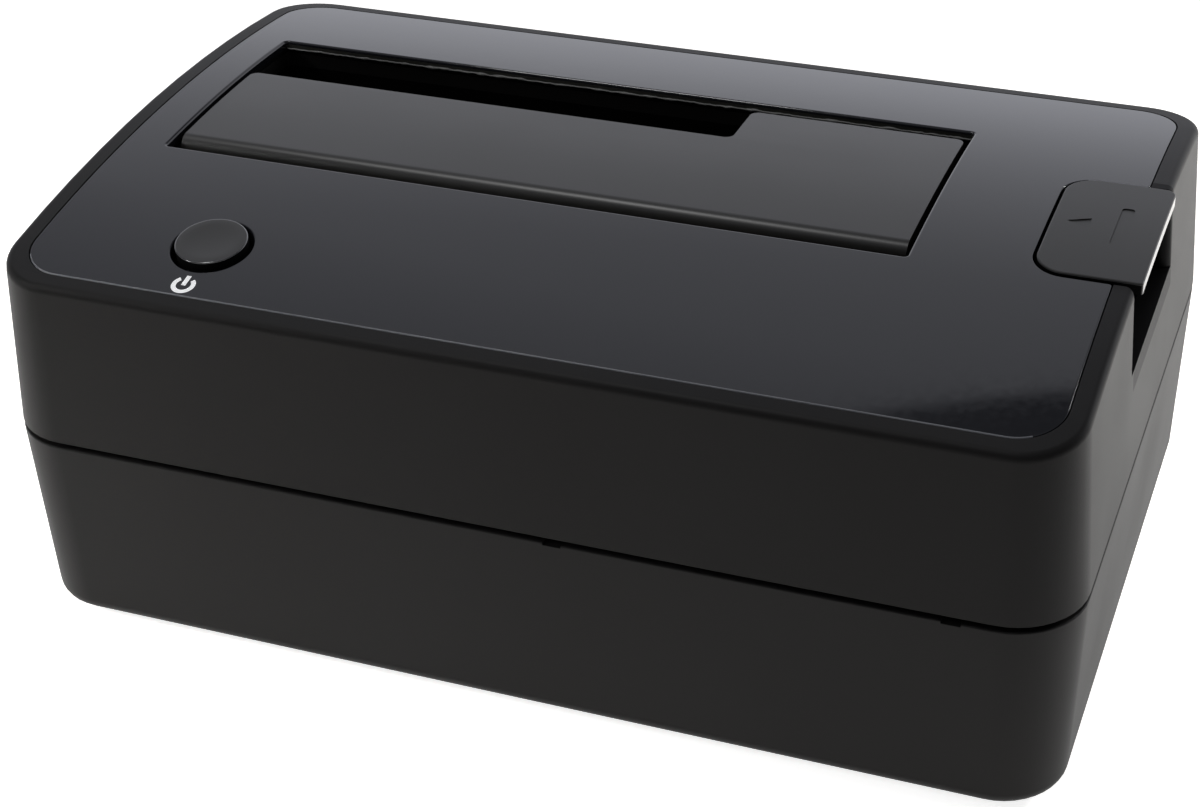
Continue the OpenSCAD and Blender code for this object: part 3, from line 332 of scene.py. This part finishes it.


# Case plastic, with painted shade in the pocket under the tab
CASE = painted_pocket_shade(moulded_plastic(
    "case_plastic", (0.0105, 0.0100, 0.0095), (0.0135, 0.0128, 0.0122), 0.5, 3800, 0.012*MM
))
# Painted shade: a near-black material for the tab's and button's sides, the skirt under the tab and the
# panel's lower layer
PAINTED_SHADE_BLACK = moulded_plastic("painted_shade_black", grey(0.002), grey(0.003), 0.8, 2500, 0.005*MM, gloss=DARK_GLOSS)
# White print with a painted glow
GLOWING_PRINT = painted_glow(moulded_plastic(
    "white_print_glowing", (0.90, 0.90, 0.89), (0.94, 0.94, 0.93), 0.5, 2500, 0.002*MM
), 0.3)
GLUE = moulded_plastic("glue_bead", (0.14, 0.14, 0.135), (0.24, 0.24, 0.23), 0.5, 1500, 0.02*MM)
# Painted highlight: a pale bluish tone for the front upper edge of the panel
PAINTED_EDGE_HIGHLIGHT = moulded_plastic("panel_edge_highlight", (0.16, 0.165, 0.18), (0.24, 0.245, 0.26), 0.4, 1500, 0.004*MM)
CUT_SIDE = moulded_plastic("panel_side", (0.040, 0.040, 0.034), (0.060, 0.060, 0.052), 0.5, 1500, 0.01*MM)
PANEL = gloss_plastic("gloss_panel", (0.0105, 0.011, 0.014), (0.0125, 0.013, 0.016), 0.05)
FLAP = moulded_plastic(
    "flap_plastic", (0.0165, 0.0157, 0.0135), (0.0200, 0.0192, 0.0170), 0.34, 2600, 0.004*MM
)
KEY = moulded_plastic(
    "button_plastic", (0.018, 0.0175, 0.016), (0.022, 0.0215, 0.020), 0.45, 3000, 0.006*MM
)
TAB_END = gloss_plastic("tab_end_plastic", grey(0.016), grey(0.020), 0.12, gloss=TAB_END_GLOSS)
BUTTON_EDGE = polished(gloss_plastic("button_edge_plastic", grey(0.016), grey(0.020), 0.12))
# Black plastic of the bay, darkened past its own tone as painted shade deep in the slot
BAY_BLACK_AND_SHADE = moulded_plastic("bay_plastic", grey(0.0015), grey(0.0025), 0.7, 2500, 0.015*MM, gloss=DARK_GLOSS)
WHITE = moulded_plastic("white_plastic", (0.66, 0.65, 0.61), (0.72, 0.71, 0.67), 0.4, 1500, 0.006*MM)
BLACK = moulded_plastic("black_plastic", grey(0.012), grey(0.016), 0.42, 2000, 0.01*MM)
BOARD = moulded_plastic("board_green", (0.012, 0.10, 0.045), (0.02, 0.14, 0.06), 0.35, 700, 0.01*MM)
LEAD = moulded_plastic("lead_grey", grey(0.50), grey(0.56), 0.5, 900, 0.01*MM)
FERRITE = moulded_plastic("ferrite", (0.040, 0.040, 0.043), (0.055, 0.055, 0.058), 0.6, 1800, 0.02*MM)
RUBBER = moulded_plastic("foot_rubber", grey(0.011), grey(0.016), 0.8, 1500, 0.03*MM)
STEEL = metal("steel", (0.62, 0.62, 0.61), 0.28, 600)
DARK_STEEL = metal("screw_steel", (0.17, 0.17, 0.175), 0.38, 900)
TIN = metal("port_metal", (0.72, 0.72, 0.71), 0.24, 500)
GOLD = metal("gold_contact", (0.80, 0.60, 0.22), 0.25, 700)
CAN = metal("can_aluminium", (0.66, 0.67, 0.69), 0.35, 500)
CLEAR = clear_plastic("led_clear", (0.75, 0.84, 0.92))

# Material of each node, and the width of its softened edges in millimetres
NODE_FINISH = {
    "upper_case": (CASE, 0.12),
    "lower_case": (CASE, 0.12),
    "top_panel": (PANEL, 0.15),
    "bay_frame": (BAY_BLACK_AND_SHADE, 0.2),
    "flap": (FLAP, 0.2),
    "flap_hinge_pin": (DARK_STEEL, 0.1),
    "flap_springs": (DARK_STEEL, 0),
    "eject_button": (KEY, 0.1),
    "eject_clip": (STEEL, 0.08),
    "eject_spring": (DARK_STEEL, 0),
    "ejector_arm": (WHITE, 0.2),
    "ejector_pivot_pin": (STEEL, 0.1),
    "power_button": (KEY, 0.1),
    "switch_plunger": (WHITE, 0.15),
    "power_switch": (BLACK, 0.15),
    "switch_board": (BOARD, 0.05),
    "status_led": (CLEAR, 0),
    "switch_cable": (LEAD, 0.1),
    "cable_headers": (WHITE, 0.15),
    "main_board": (BOARD, 0.05),
    "sata_connector": (BLACK, 0.12),
    "sata_contacts": (GOLD, 0.04),
    "usb_port_shell": (TIN, 0.08),
    "usb_port_core": (WHITE, 0.1),
    "dc_jack": (BLACK, 0.15),
    "dc_jack_pin": (TIN, 0.1),
    "bridge_chip": (BLACK, 0.03),
    "capacitors": (CAN, 0.06),
    "inductor": (FERRITE, 0.1),
    "crystal": (TIN, 0.1),
    "case_screws": (DARK_STEEL, 0.08),
    "bay_screws": (DARK_STEEL, 0.06),
    "board_screws": (DARK_STEEL, 0.06),
    "switch_screws": (DARK_STEEL, 0.06),
    "rubber_feet": (RUBBER, 0.25),
}


def joined_and_smooth():
    """Node group that joins split vertices and shades every face smooth."""
    group = bpy.data.node_groups.new("join_and_smooth", "GeometryNodeTree")
    group.interface.new_socket("Geometry", in_out="INPUT", socket_type="NodeSocketGeometry")
    group.interface.new_socket("Geometry", in_out="OUTPUT", socket_type="NodeSocketGeometry")
    start = group.nodes.new("NodeGroupInput")
    join = group.nodes.new("GeometryNodeMergeByDistance")
    join.inputs["Distance"].default_value = 0.001*MM
    smooth = group.nodes.new("GeometryNodeSetShadeSmooth")
    end = group.nodes.new("NodeGroupOutput")
    group.links.new(start.outputs[0], join.inputs["Geometry"])
    group.links.new(join.outputs[0], smooth.inputs["Geometry"])
    group.links.new(smooth.outputs[0], end.inputs[0])
    return group


def finish_node(node, material, edge, group):
    """Gives a node its material, softened edges and shading that follows its large faces."""
    for slot in node.material_slots:
        slot.material = material
    node.modifiers.new("join", "NODES").node_group = group
    if edge:
        flat = node.modifiers.new("flat_faces", "DECIMATE")
        flat.decimate_type = "DISSOLVE"
        flat.angle_limit = math.radians(0.1)
        soft = node.modifiers.new("soft_edges", "BEVEL")
        soft.width = edge*MM
        soft.segments = 2
        soft.limit_method = "ANGLE"
        soft.angle_limit = math.radians(35)
        soft.use_clamp_overlap = True
    even = node.modifiers.new("even_shading", "WEIGHTED_NORMAL")
    even.mode = "FACE_AREA_WITH_ANGLE"
    even.weight = 80


def finish_nodes():
    group = joined_and_smooth()
    for name, (material, edge) in NODE_FINISH.items():
        finish_node(nodes[name], material, edge, group)


# Pieces that follow the arched top, with exact normals
EDGE_STEPS = 5
SIDE_STEP = 2.5
ROW_STEP = (9, 2)


def arch_height(y, drop=0):
    return CROWN - ARCH_R + math.sqrt((ARCH_R - drop)**2 - y*y)


def arch_normal(y):
    return Vector((0, y/ARCH_R, math.sqrt(1 - (y/ARCH_R)**2)))


def arc(centre, radius, start, end, steps=12):
    angles = [math.radians(start + (end - start)*i/steps) for i in range(steps + 1)]
    return [(centre[0] + radius*math.cos(a), centre[1] + radius*math.sin(a)) for a in angles]


def split_sides(outline):
    """Adds points along the long sides of a closed outline, so that they can follow the arch."""
    points = []
    for a, b in zip(outline, outline[1:] + outline[:1]):
        count = max(1, round(math.dist(a, b)/SIDE_STEP))
        points += [(a[0] + (b[0] - a[0])*i/count, a[1] + (b[1] - a[1])*i/count) for i in range(count)]
    return points


def inward_turns(outline):
    """For each point, the step that moves both of its sides to the left by one."""
    turns = []
    for i, b in enumerate(outline):
        a = outline[i - 1]
        c = outline[(i + 1) % len(outline)]
        before = Vector((a[1] - b[1], b[0] - a[0])).normalized()
        after = Vector((b[1] - c[1], c[0] - b[0])).normalized()
        turns.append((before + after)/(1 + before.dot(after)))
    return turns


def moved_in(outline, amount):
    return [(p[0] + amount*t.x, p[1] + amount*t.y) for p, t in zip(outline, inward_turns(outline))]


def holds(outline, point):
    """Whether a closed outline holds a point."""
    x, y = point
    inside = False
    for (ax, ay), (bx, by) in zip(outline, outline[1:] + outline[:1]):
        if (ay > y) != (by > y) and x < ax + (bx - ax)*(y - ay)/(by - ay):
            inside = not inside
    return inside


class Skin:
    """Points and faces of a mesh, with a normal for every corner of every face."""

    def __init__(self):
        self.points = []
        self.faces = []
        self.normals = []
        self.shades = []

    def ring(self, outline, drop):
        first = len(self.points)
        self.points += [(x, y, arch_height(y, drop)) for x, y in outline]
        return list(range(first, len(self.points)))

    def face(self, corners, normals, shade=0):
        self.faces.append(corners)
        self.normals += normals
        self.shades.append(shade)

    def band(self, low, high, low_normals, high_normals, shades=None):
        for i in range(len(low)):
            j = (i + 1) % len(low)
            self.face(
                [low[i], low[j], high[j], high[i]],
                [low_normals[i], low_normals[j], high_normals[j], high_normals[i]],
                shades[i] if shades else 0,
            )

    def build(self, name, materials):
        mesh = bpy.data.meshes.new(name)
        mesh.from_pydata([Vector(p)*MM for p in self.points], [], self.faces)
        mesh.shade_smooth()
        mesh.normals_split_custom_set(self.normals)
        for material in materials:
            mesh.materials.append(material)
        mesh.polygons.foreach_set("material_index", self.shades)
        piece = bpy.data.objects.new(name, mesh)
        bpy.context.scene.collection.objects.link(piece)
        return piece


def rounded_edge(skin, outline, drop, thickness, edge, shade):
    """Side wall and rounded upper edge along an outline. Returns the inner rings above and below."""
    outs = [-t.to_3d().normalized() for t in inward_turns(outline)]
    downs = [-arch_normal(y) for _, y in outline]
    side_shades = [shade("side", out) for out in outs]
    edge_shades = [shade("edge", out) for out in outs]
    under = skin.ring(moved_in(outline, edge), drop + thickness)
    low = skin.ring(outline, drop + thickness)
    skin.band(under, low, downs, downs, side_shades)
    low_normals = outs
    for k in range(EDGE_STEPS + 1):
        a = math.pi/2*k/EDGE_STEPS
        high = skin.ring(moved_in(outline, edge*(1 - math.cos(a))), drop + edge*(1 - math.sin(a)))
        high_normals = [
            (math.cos(a)*out - math.sin(a)*down).normalized() for out, down in zip(outs, downs)
        ]
        skin.band(low, high, low_normals, high_normals, edge_shades if k else side_shades)
        low, low_normals = high, high_normals
    return low, under


def rows_inside(outlines, marks):
    """Points in rows across the inside of the outlines, clear of the marks."""
    xs, ys = zip(*outlines[0])
    points = []
    for i in range(1, int((max(xs) - min(xs))/ROW_STEP[0]) + 1):
        for j in range(1, int((max(ys) - min(ys))/ROW_STEP[1]) + 1):
            p = (min(xs) + i*ROW_STEP[0], min(ys) + j*ROW_STEP[1])
            inside = sum(holds(o, p) for o in outlines) % 2 == 1
            if inside and not any(holds(m, p) for m in marks):
                points.append(p)
    return points


def middle(points, triangle):
    corners = [points[i] for i in triangle]
    return sum(x for x, _ in corners)/3, sum(y for _, y in corners)/3


def fill(outlines, marks):
    """Points and triangles over the inside of the outlines; the marks' edges are kept."""
    points, edges = [], []
    for loop in outlines + marks:
        first = len(points)
        points += loop
        edges += [(first + i, first + (i + 1) % len(loop)) for i in range(len(loop))]
    points += rows_inside(outlines, marks)
    flat = [Vector(p) for p in points]
    _, _, triangles, origin, _, _ = geometry.delaunay_2d_cdt(flat, edges, [], 0, 1e-7)
    triangles = [[origin[i][0] for i in t] for t in triangles]
    kept = [t for t in triangles if sum(holds(o, middle(points, t)) for o in outlines) % 2 == 1]
    sunk = [any(holds(m, middle(points, t)) for m in marks) for t in kept]
    return points, kept, sunk


def one_shade(part, out):
    """Every side and edge in the first material."""
    return 0


def sink_marks(skin, marks, top, first, drop):
    """Side walls of the marks. Returns the floor's point below each point of a mark."""
    floor = {}
    for mark in marks:
        ids = range(first, first + len(mark))
        low = skin.ring(mark, drop)
        floor.update(zip(ids, low))
        ins = [t.to_3d().normalized() for t in inward_turns(mark)]
        skin.band(low[::-1], [top[i] for i in ids][::-1], ins[::-1], ins[::-1])
        first += len(mark)
    return floor


def arched_plate(name, materials, outlines, drop, thickness, edges, marks=(), mark_depth=0, shades=None):
    """Closed plate on the arch with rounded upper edges, holes and sunk marks. The outlines keep the
    material on their left, and the marks run anticlockwise. For each outline, edges has the radius of its
    edge, and shades a function that picks the material of a side or an edge from the way it faces."""
    skin = Skin()
    marks = list(marks)
    shades = shades or len(outlines)*[one_shade]
    rings = [
        rounded_edge(skin, outline, drop, thickness, edge, shade)
        for outline, edge, shade in zip(outlines, edges, shades)
    ]
    inner = [moved_in(outline, edge) for outline, edge in zip(outlines, edges)]
    points, triangles, sunk = fill(inner, marks)
    top = [i for high, _ in rings for i in high]
    under = [i for _, low in rings for i in low]
    first_mark = len(top)
    rest = points[first_mark:]
    top += skin.ring(rest, drop)
    under += skin.ring(rest, drop + thickness)
    floor = sink_marks(skin, marks, top, first_mark, drop + mark_depth)
    for triangle, low in zip(triangles, sunk):
        ups = [arch_normal(points[i][1]) for i in triangle]
        skin.face([floor[i] if low else top[i] for i in triangle], ups)
        skin.face([under[i] for i in triangle[::-1]], [-n for n in ups[::-1]])
    return skin.build(name, materials)


def panel_outline():
    """The panel's edge, anticlockwise, with the pocket cut into its right end."""
    low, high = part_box("top_panel")
    x0, y0, x1, y1 = low.x/MM, low.y/MM, high.x/MM, high.y/MM
    r = PANEL_CORNER_R
    px, py0, py1 = POCKET
    lip = 0.4
    outline = arc((x1 - r, y0 + r), r, -90, 0)
    outline += arc((x1 - lip, py0 - lip), lip, 0, 90, 4)
    outline += arc((px + POCKET_R, py0 + POCKET_R), POCKET_R, 270, 180)
    outline += arc((px + POCKET_R, py1 - POCKET_R), POCKET_R, 180, 90)
    outline += arc((x1 - lip, py1 + lip), lip, -90, 0, 4)
    outline += arc((x1 - r, y1 - r), r, 0, 90)
    outline += arc((x0 + r, y1 - r), r, 90, 180)
    outline += arc((x0 + r, y0 + r), r, 180, 270)
    return split_sides(outline)


def rounded_box(x0, y0, x1, y1, radii):
    """Rounded rectangle, anticlockwise. The radii run front right, back right, back left, front left."""
    a, b, c, d = radii
    return (
        arc((x1 - a, y0 + a), a, -90, 0)
        + arc((x1 - b, y1 - b), b, 0, 90)
        + arc((x0 + c, y1 - c), c, 90, 180)
        + arc((x0 + d, y0 + d), d, 180, 270)
    )


def front_edge_shade(part, out):
    """Painted highlight: the panel's upper edge along the front takes a paler material."""
    return 1 if part == "edge" and out.y < -0.5 and out.x < 0.5 else 0


def opening_shade(part, out):
    """The back side of the opening shows the panel's cut."""
    return 2 if part == "side" and out.y < -0.5 else 0


def make_panel():
    opening = split_sides(rounded_box(*OPENING, 4*[OPENING_R]))
    hole = arc(BUTTON, BUTTON_HOLE_R, 0, 360, 72)[:-1]
    outlines = [panel_outline(), opening[::-1], hole[::-1]]
    shades = [front_edge_shade, opening_shade, one_shade]
    edges = [PANEL_EDGE, OPENING_EDGE, HOLE_EDGE]
    materials = [PANEL, PAINTED_EDGE_HIGHLIGHT, CUT_SIDE]
    backing_edge = 0.02
    sheet = arched_plate("panel_sheet", materials, outlines, 0, SHEET_T, edges, shades=shades)
    # The panel's lower layer is near black as painted shade below its cut side
    backing = arched_plate(
        "panel_backing", [PAINTED_SHADE_BLACK], outlines, SHEET_T, PANEL_T - SHEET_T, 3*[backing_edge]
    )
    for layer in (sheet, backing):
        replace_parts(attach(layer, "housing"), "top_panel")


def make_power_sign():
    """Printed ring with a bar, in front of the power button."""
    centre = (-43.85, -40.05)
    outer, inner, gap = 1.6, 0.98, 40
    ring = arc(centre, outer, 90 + gap, 450 - gap, 40) + arc(centre, inner, 450 - gap, 90 + gap, 40)
    half, low, high = 0.31, -0.1, 1.75
    proud, thickness, edge = 0.012, 0.03, 0.005
    x, y = centre
    bar = [(x - half, y + low), (x + half, y + low), (x + half, y + high), (x - half, y + high)]
    for name, outline in (("power_sign_ring", ring), ("power_sign_bar", bar)):
        print_layer = arched_plate(name, [GLOWING_PRINT], [outline], -proud, thickness, [edge])
        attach(print_layer, "housing")


# Pieces from plain points and faces
def plain_piece(name, material, verts, faces):
    mesh = bpy.data.meshes.new(name)
    mesh.from_pydata(verts, [], faces)
    mesh.materials.append(material)
    piece = bpy.data.objects.new(name, mesh)
    bpy.context.scene.collection.objects.link(piece)
    return piece


def tube_faces(rings, sides):
    """Faces of a closed tube, from rings of points that run anticlockwise about its direction."""
    faces = []
    for k in range(rings - 1):
        for i in range(sides):
            j = (i + 1) % sides
            faces.append((k*sides + i, k*sides + j, (k + 1)*sides + j, (k + 1)*sides + i))
    faces.append(tuple(range(sides))[::-1])
    faces.append(tuple(range((rings - 1)*sides, rings*sides)))
    return faces


def lathe(name, material, centre, profile, sides=32):
    """Solid of revolution about an upright axis, from (radius, height) points that run upwards."""
    verts = []
    for radius, z in profile:
        for i in range(sides):
            a = 2*math.pi*i/sides
            verts.append(Vector((centre[0] + radius*math.cos(a), centre[1] + radius*math.sin(a), z))*MM)
    return plain_piece(name, material, verts, tube_faces(len(profile), sides))


def box_piece(name, material, low, high):
    corners = [(x, y, z) for z in (low[2], high[2]) for y in (low[1], high[1]) for x in (low[0], high[0])]
    faces = [(0, 2, 3, 1), (4, 5, 7, 6), (0, 1, 5, 4), (2, 6, 7, 3), (0, 4, 6, 2), (1, 3, 7, 5)]
    return plain_piece(name, material, [Vector(c)*MM for c in corners], faces)


def tab_shade(part, out):
    """Painted shade: the sides of the tab are dark, apart from its smooth outer end."""
    if part == "edge":
        return 0
    return 2 if out.x > 0.6 else 1


def make_eject_tab():
    """Tab with an engraved arrow and a plain engraved bar, its stem and the skirt under it."""
    low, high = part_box("eject_button")
    x0, y0, x1, y1 = low.x/MM, low.y/MM, high.x/MM, high.y/MM
    outline = split_sides(rounded_box(x0, y0, x1, y1, TAB_CORNERS))
    bar = split_sides(rounded_box(*TAB_BAR, 4*[TAB_BAR_R]))
    face = arched_plate(
        "eject_tab_face", [KEY, PAINTED_SHADE_BLACK, TAB_END], [outline], -TAB_PROUD, TAB_T, [TAB_EDGE],
        [TAB_ARROW, bar], TAB_MARK_DEPTH, [tab_shade],
    )
    stem_z, clip_z, clip_h, seat_z, top_z = low.z/MM, 33.45, 0.9, CROWN - 4, CROWN - 1
    stem_r, groove_r, seat_r = 2, 1.3, 3.4
    profile = [
        (stem_r, stem_z), (stem_r, clip_z), (groove_r, clip_z), (groove_r, clip_z + clip_h),
        (stem_r, clip_z + clip_h), (stem_r, seat_z), (seat_r, seat_z), (seat_r, top_z),
    ]
    stem = lathe("eject_tab_stem", KEY, STEM, profile)
    # The skirt under the tab is near black as painted shade
    skirt_x0, skirt_x1, skirt_inset, skirt_reach, skirt_top = 66.2, 67.8, 1, 2.4, 1.4
    skirt = box_piece(
        "eject_tab_skirt",
        PAINTED_SHADE_BLACK,
        (skirt_x0, y0 + skirt_inset, POCKET_FLOOR - skirt_reach),
        (skirt_x1, y1 - skirt_inset, CROWN - skirt_top),
    )
    for piece in (face, stem, skirt):
        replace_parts(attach(piece, "eject_tab"), "eject_button")


def button_profile(steps):
    """Side, rounded edge and dish of the button, as (radius, height) points about the panel's surface."""
    edge, dish_r, dish_depth, least_r = 0.16, 3.7, 0.16, 0.05
    flange_r, flange_t, stem_r = 6.75, 1, 2.2
    stem_low, skirt_low = -9.1, -5.6
    side = [
        (stem_r, stem_low), (stem_r, skirt_low), (flange_r, skirt_low), (flange_r, skirt_low + flange_t),
        (BUTTON_R, skirt_low + flange_t),
    ]
    round_edge = []
    for k in range(steps + 1):
        a = math.pi/2*k/steps
        round_edge.append((BUTTON_R - edge*(1 - math.cos(a)), BUTTON_PROUD - edge*(1 - math.sin(a))))
    dish = []
    for k in range(steps + 1):
        r = max(least_r, dish_r*(1 - k/steps))
        dish.append((r, BUTTON_PROUD - dish_depth*(1 - (r/dish_r)**2)))
    return side, round_edge, dish


def make_power_button():
    """Round cap with a crisp edge and a shallow dish, on its flange and stem, square to the arch."""
    steps, sides = 6, 72
    side, round_edge, dish = button_profile(steps)
    cap = lathe("power_button_cap", KEY, (0, 0), side + round_edge + dish, sides)
    cap.data.materials.append(PAINTED_SHADE_BLACK)
    cap.data.materials.append(BUTTON_EDGE)
    cap.data.shade_smooth()
    cap.data.set_sharp_from_angle(angle=math.radians(30))
    # The cap's side takes the painted shade material, its rounded edge the polished one
    for polygon in cap.data.polygons:
        row = polygon.index//sides
        if row < len(side):
            polygon.material_index = 1
        elif row < len(side) + steps:
            polygon.material_index = 2
    x, y = BUTTON
    place = Matrix.Translation(Vector((x, y, arch_height(y)))*MM)
    cap.matrix_world = place @ Matrix.Rotation(math.asin(-y/ARCH_R), 4, "X")
    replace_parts(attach(cap, "power_key"), "power_button")


def wire_piece(name, path, radius, aside, sides=8):
    """Round wire along a path of points. aside is a direction that the path never takes."""
    verts = []
    for i, point in enumerate(path):
        along = (path[min(i + 1, len(path) - 1)] - path[max(i - 1, 0)]).normalized()
        u = along.cross(Vector(aside)).normalized()
        v = along.cross(u)
        for k in range(sides):
            a = 2*math.pi*k/sides
            verts.append((point + radius*(math.cos(a)*u + math.sin(a)*v))*MM)
    piece = plain_piece(name, DARK_STEEL, verts, tube_faces(len(path), sides))
    piece.data.shade_smooth()
    return piece


def make_eject_spring():
    """Return spring round the stem."""
    low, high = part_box("eject_spring")
    radius, turns, per_turn, press = 0.3, 7, 24, 6
    z0, z1 = low.z/MM + radius, high.z/MM - radius
    coil_r = 2.7
    path = []
    for i in range(turns*per_turn + 1):
        a = 2*math.pi*i/per_turn
        z = z0 + (z1 - z0)*i/(turns*per_turn)
        path.append(Vector((STEM[0] + coil_r*math.cos(a), STEM[1] + coil_r*math.sin(a), z)))
    spring = wire_piece("eject_return_spring", path, radius, (0, 0, 1))
    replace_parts(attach(spring, "housing"), "eject_spring")
    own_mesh(spring)


def make_flap_springs():
    """Torsion springs round the hinge pin: coil and one leg stay, the other leg goes with the flap."""
    y, z = HINGE
    radius, turns, per_turn, play = 0.25, 5.25, 24, 0.05
    coil_r, pitch = FLAP_COIL_R, FLAP_COIL_PITCH
    left_end, right_end = -54.5, 35.3
    for name, x, way in (("left", left_end, 1), ("right", right_end, -1)):
        steps = round(turns*per_turn)
        coil = []
        for i in range(steps + 1):
            a = math.pi - 2*math.pi*i/per_turn
            along = x + way*pitch*i/per_turn
            coil.append(Vector((along, y + coil_r*math.cos(a), z + coil_r*math.sin(a))))
        foot = Vector((x, OPENING[1] + radius + play, z - FLAP_LEG))
        end = Vector((coil[-1].x, FLAP_RIB[0], FLAP_RIB[1]))
        fixed = wire_piece(f"flap_spring_{name}_coil", [foot] + coil, radius, (1, 0, 0))
        moving = wire_piece(f"flap_spring_{name}_leg", [coil[-1], end], radius, (1, 0, 0))
        for piece, body in ((fixed, "housing"), (moving, "flap")):
            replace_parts(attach(piece, body), "flap_springs")


def make_bead():
    """Rough bead of glue along the back of the opening, under the panel."""
    x0, _, x1, y1 = OPENING
    sides, step, sink = 6, 0.4, 0.05
    least_r, extra_r, wave = 0.12, 0.22, 0.12
    count = int((x1 - x0)/step)
    verts = []
    for i in range(count + 1):
        x = x0 + (x1 - x0)*i/count
        wander = 0.5*field.noise(Vector((0.4*x, 3.1, 0))) + field.noise(Vector((1.9*x, 7.7, 0)))
        radius = least_r + extra_r*max(0, field.noise(Vector((0.6*x, 0, 5.5))))
        z = arch_height(y1, SHEET_T) + wave*wander
        for k in range(sides):
            a = 2*math.pi*k/sides
            verts.append(Vector((x, y1 - sink + radius*math.cos(a), z + radius*math.sin(a)))*MM)
    bead = plain_piece("panel_bead", GLUE, verts, tube_faces(count + 1, sides))
    bead.data.shade_smooth()
    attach(bead, "housing")


# Studio
def seen_rays(tree, glossy_where=None):
    """1 for rays from the camera, through clear plastic and off a gloss, the last only where stated."""
    path = add_node(tree, "ShaderNodeLightPath").outputs
    glossy = path["Is Glossy Ray"]
    if glossy_where is not None:
        glossy = multiply(tree, glossy, glossy_where)
    return largest(tree, largest(tree, path["Is Camera Ray"], path["Is Transmission Ray"]), glossy)


def make_floor():
    """Pale matt floor with the object's soft shadow, white to the camera, to gloss and to clear plastic."""
    bpy.ops.mesh.primitive_plane_add(size=FLOOR_SIZE, location=(0, 0, -FLOOR_DROP))
    floor = bpy.context.object
    floor.name = "floor"
    material, tree, shader = new_material("floor_white")
    shader.inputs["Base Color"].default_value = FLOOR_COLOUR
    shader.inputs["Roughness"].default_value = 0.9
    shader.inputs["Specular IOR Level"].default_value = 0
    glow = add_node(tree, "ShaderNodeEmission")
    glow.inputs["Color"].default_value = (FLOOR_GLOW, FLOOR_GLOW, FLOOR_GLOW, 1)
    tree.links.new(seen_rays(tree), glow.inputs["Strength"])
    both = add_node(tree, "ShaderNodeAddShader")
    tree.links.new(shader.outputs[0], both.inputs[0])
    tree.links.new(glow.outputs[0], both.inputs[1])
    tree.links.new(both.outputs[0], tree.nodes["Material Output"].inputs["Surface"])
    floor.data.materials.append(material)


def blend(tree, amount, low, high):
    node = add_node(tree, "ShaderNodeMix", data_type="FLOAT")
    tree.links.new(amount, node.inputs[0])
    tree.links.new(low, node.inputs[2])
    tree.links.new(high, node.inputs[3])
    return node.outputs[0]


def make_world():
    """White to the camera and to clear plastic, and near the horizon to gloss too. Otherwise a backdrop
    behind the object, brightest low down, with a dark ceiling edge over its right end, and a dim room in
    front."""
    world = bpy.data.worlds.new("studio")
    bpy.context.scene.world = world
    world.use_nodes = True
    tree = world.node_tree
    background = tree.nodes["Background"]
    background.inputs["Color"].default_value = WORLD_COLOUR
    direction = add_node(tree, "ShaderNodeTexCoord").outputs["Generated"]
    parts = add_node(tree, "ShaderNodeSeparateXYZ")
    tree.links.new(direction, parts.inputs[0])
    backdrop = ramp(tree, parts.outputs["Z"], *BACKDROP_SPAN, BACKDROP_LOW, BACKDROP_HIGH)
    edge = add_node(tree, "ShaderNodeVectorMath", operation="DOT_PRODUCT")
    tree.links.new(direction, edge.inputs[0])
    edge.inputs[1].default_value = CEILING_EDGE
    past_edge = ramp(tree, edge.outputs["Value"], *CEILING_BLUR, 0, 1)
    high = ramp(tree, parts.outputs["Z"], *CEILING_SPAN, 0, 1)
    ceiling = ramp(tree, multiply(tree, past_edge, high), 0, 1, 1, CEILING_SHARE)
    behind = ramp(tree, parts.outputs["Y"], *BEHIND_SPAN, 0, 1)
    front = ramp(tree, parts.outputs["Z"], *OVERHEAD_SPAN, FRONT, OVERHEAD)
    room = blend(tree, behind, front, multiply(tree, backdrop, ceiling))
    low_down = ramp(tree, parts.outputs["Z"], *HORIZON_SPAN, 1, 0)
    pick = add_node(tree, "ShaderNodeMix", data_type="FLOAT")
    tree.links.new(seen_rays(tree, low_down), pick.inputs[0])
    tree.links.new(room, pick.inputs[2])
    pick.inputs[3].default_value = 1
    tree.links.new(pick.outputs[0], background.inputs["Strength"])


def area_light(name, place, aim, width, watts, spread):
    data = bpy.data.lights.new(name, "AREA")
    data.shape = "RECTANGLE"
    data.size = width
    data.size_y = width
    data.energy = watts
    data.spread = math.radians(spread)
    lamp = bpy.data.objects.new(name, data)
    bpy.context.scene.collection.objects.link(lamp)
    lamp.location = place
    lamp.rotation_euler = (Vector(aim) - Vector(place)).to_track_quat("-Z", "Y").to_euler()


def make_lights():
    """A box overhead, and two small ones aimed at the floor by the right end and by the left front."""
    for name, values in LAMPS.items():
        area_light(name, *values)


finish_nodes()
make_panel()
make_power_sign()
make_eject_tab()
make_power_button()
make_eject_spring()
make_flap_springs()
make_bead()
make_floor()
make_world()
make_lights()
make_camera()
bpy.context.scene.view_settings.view_transform = "Standard"
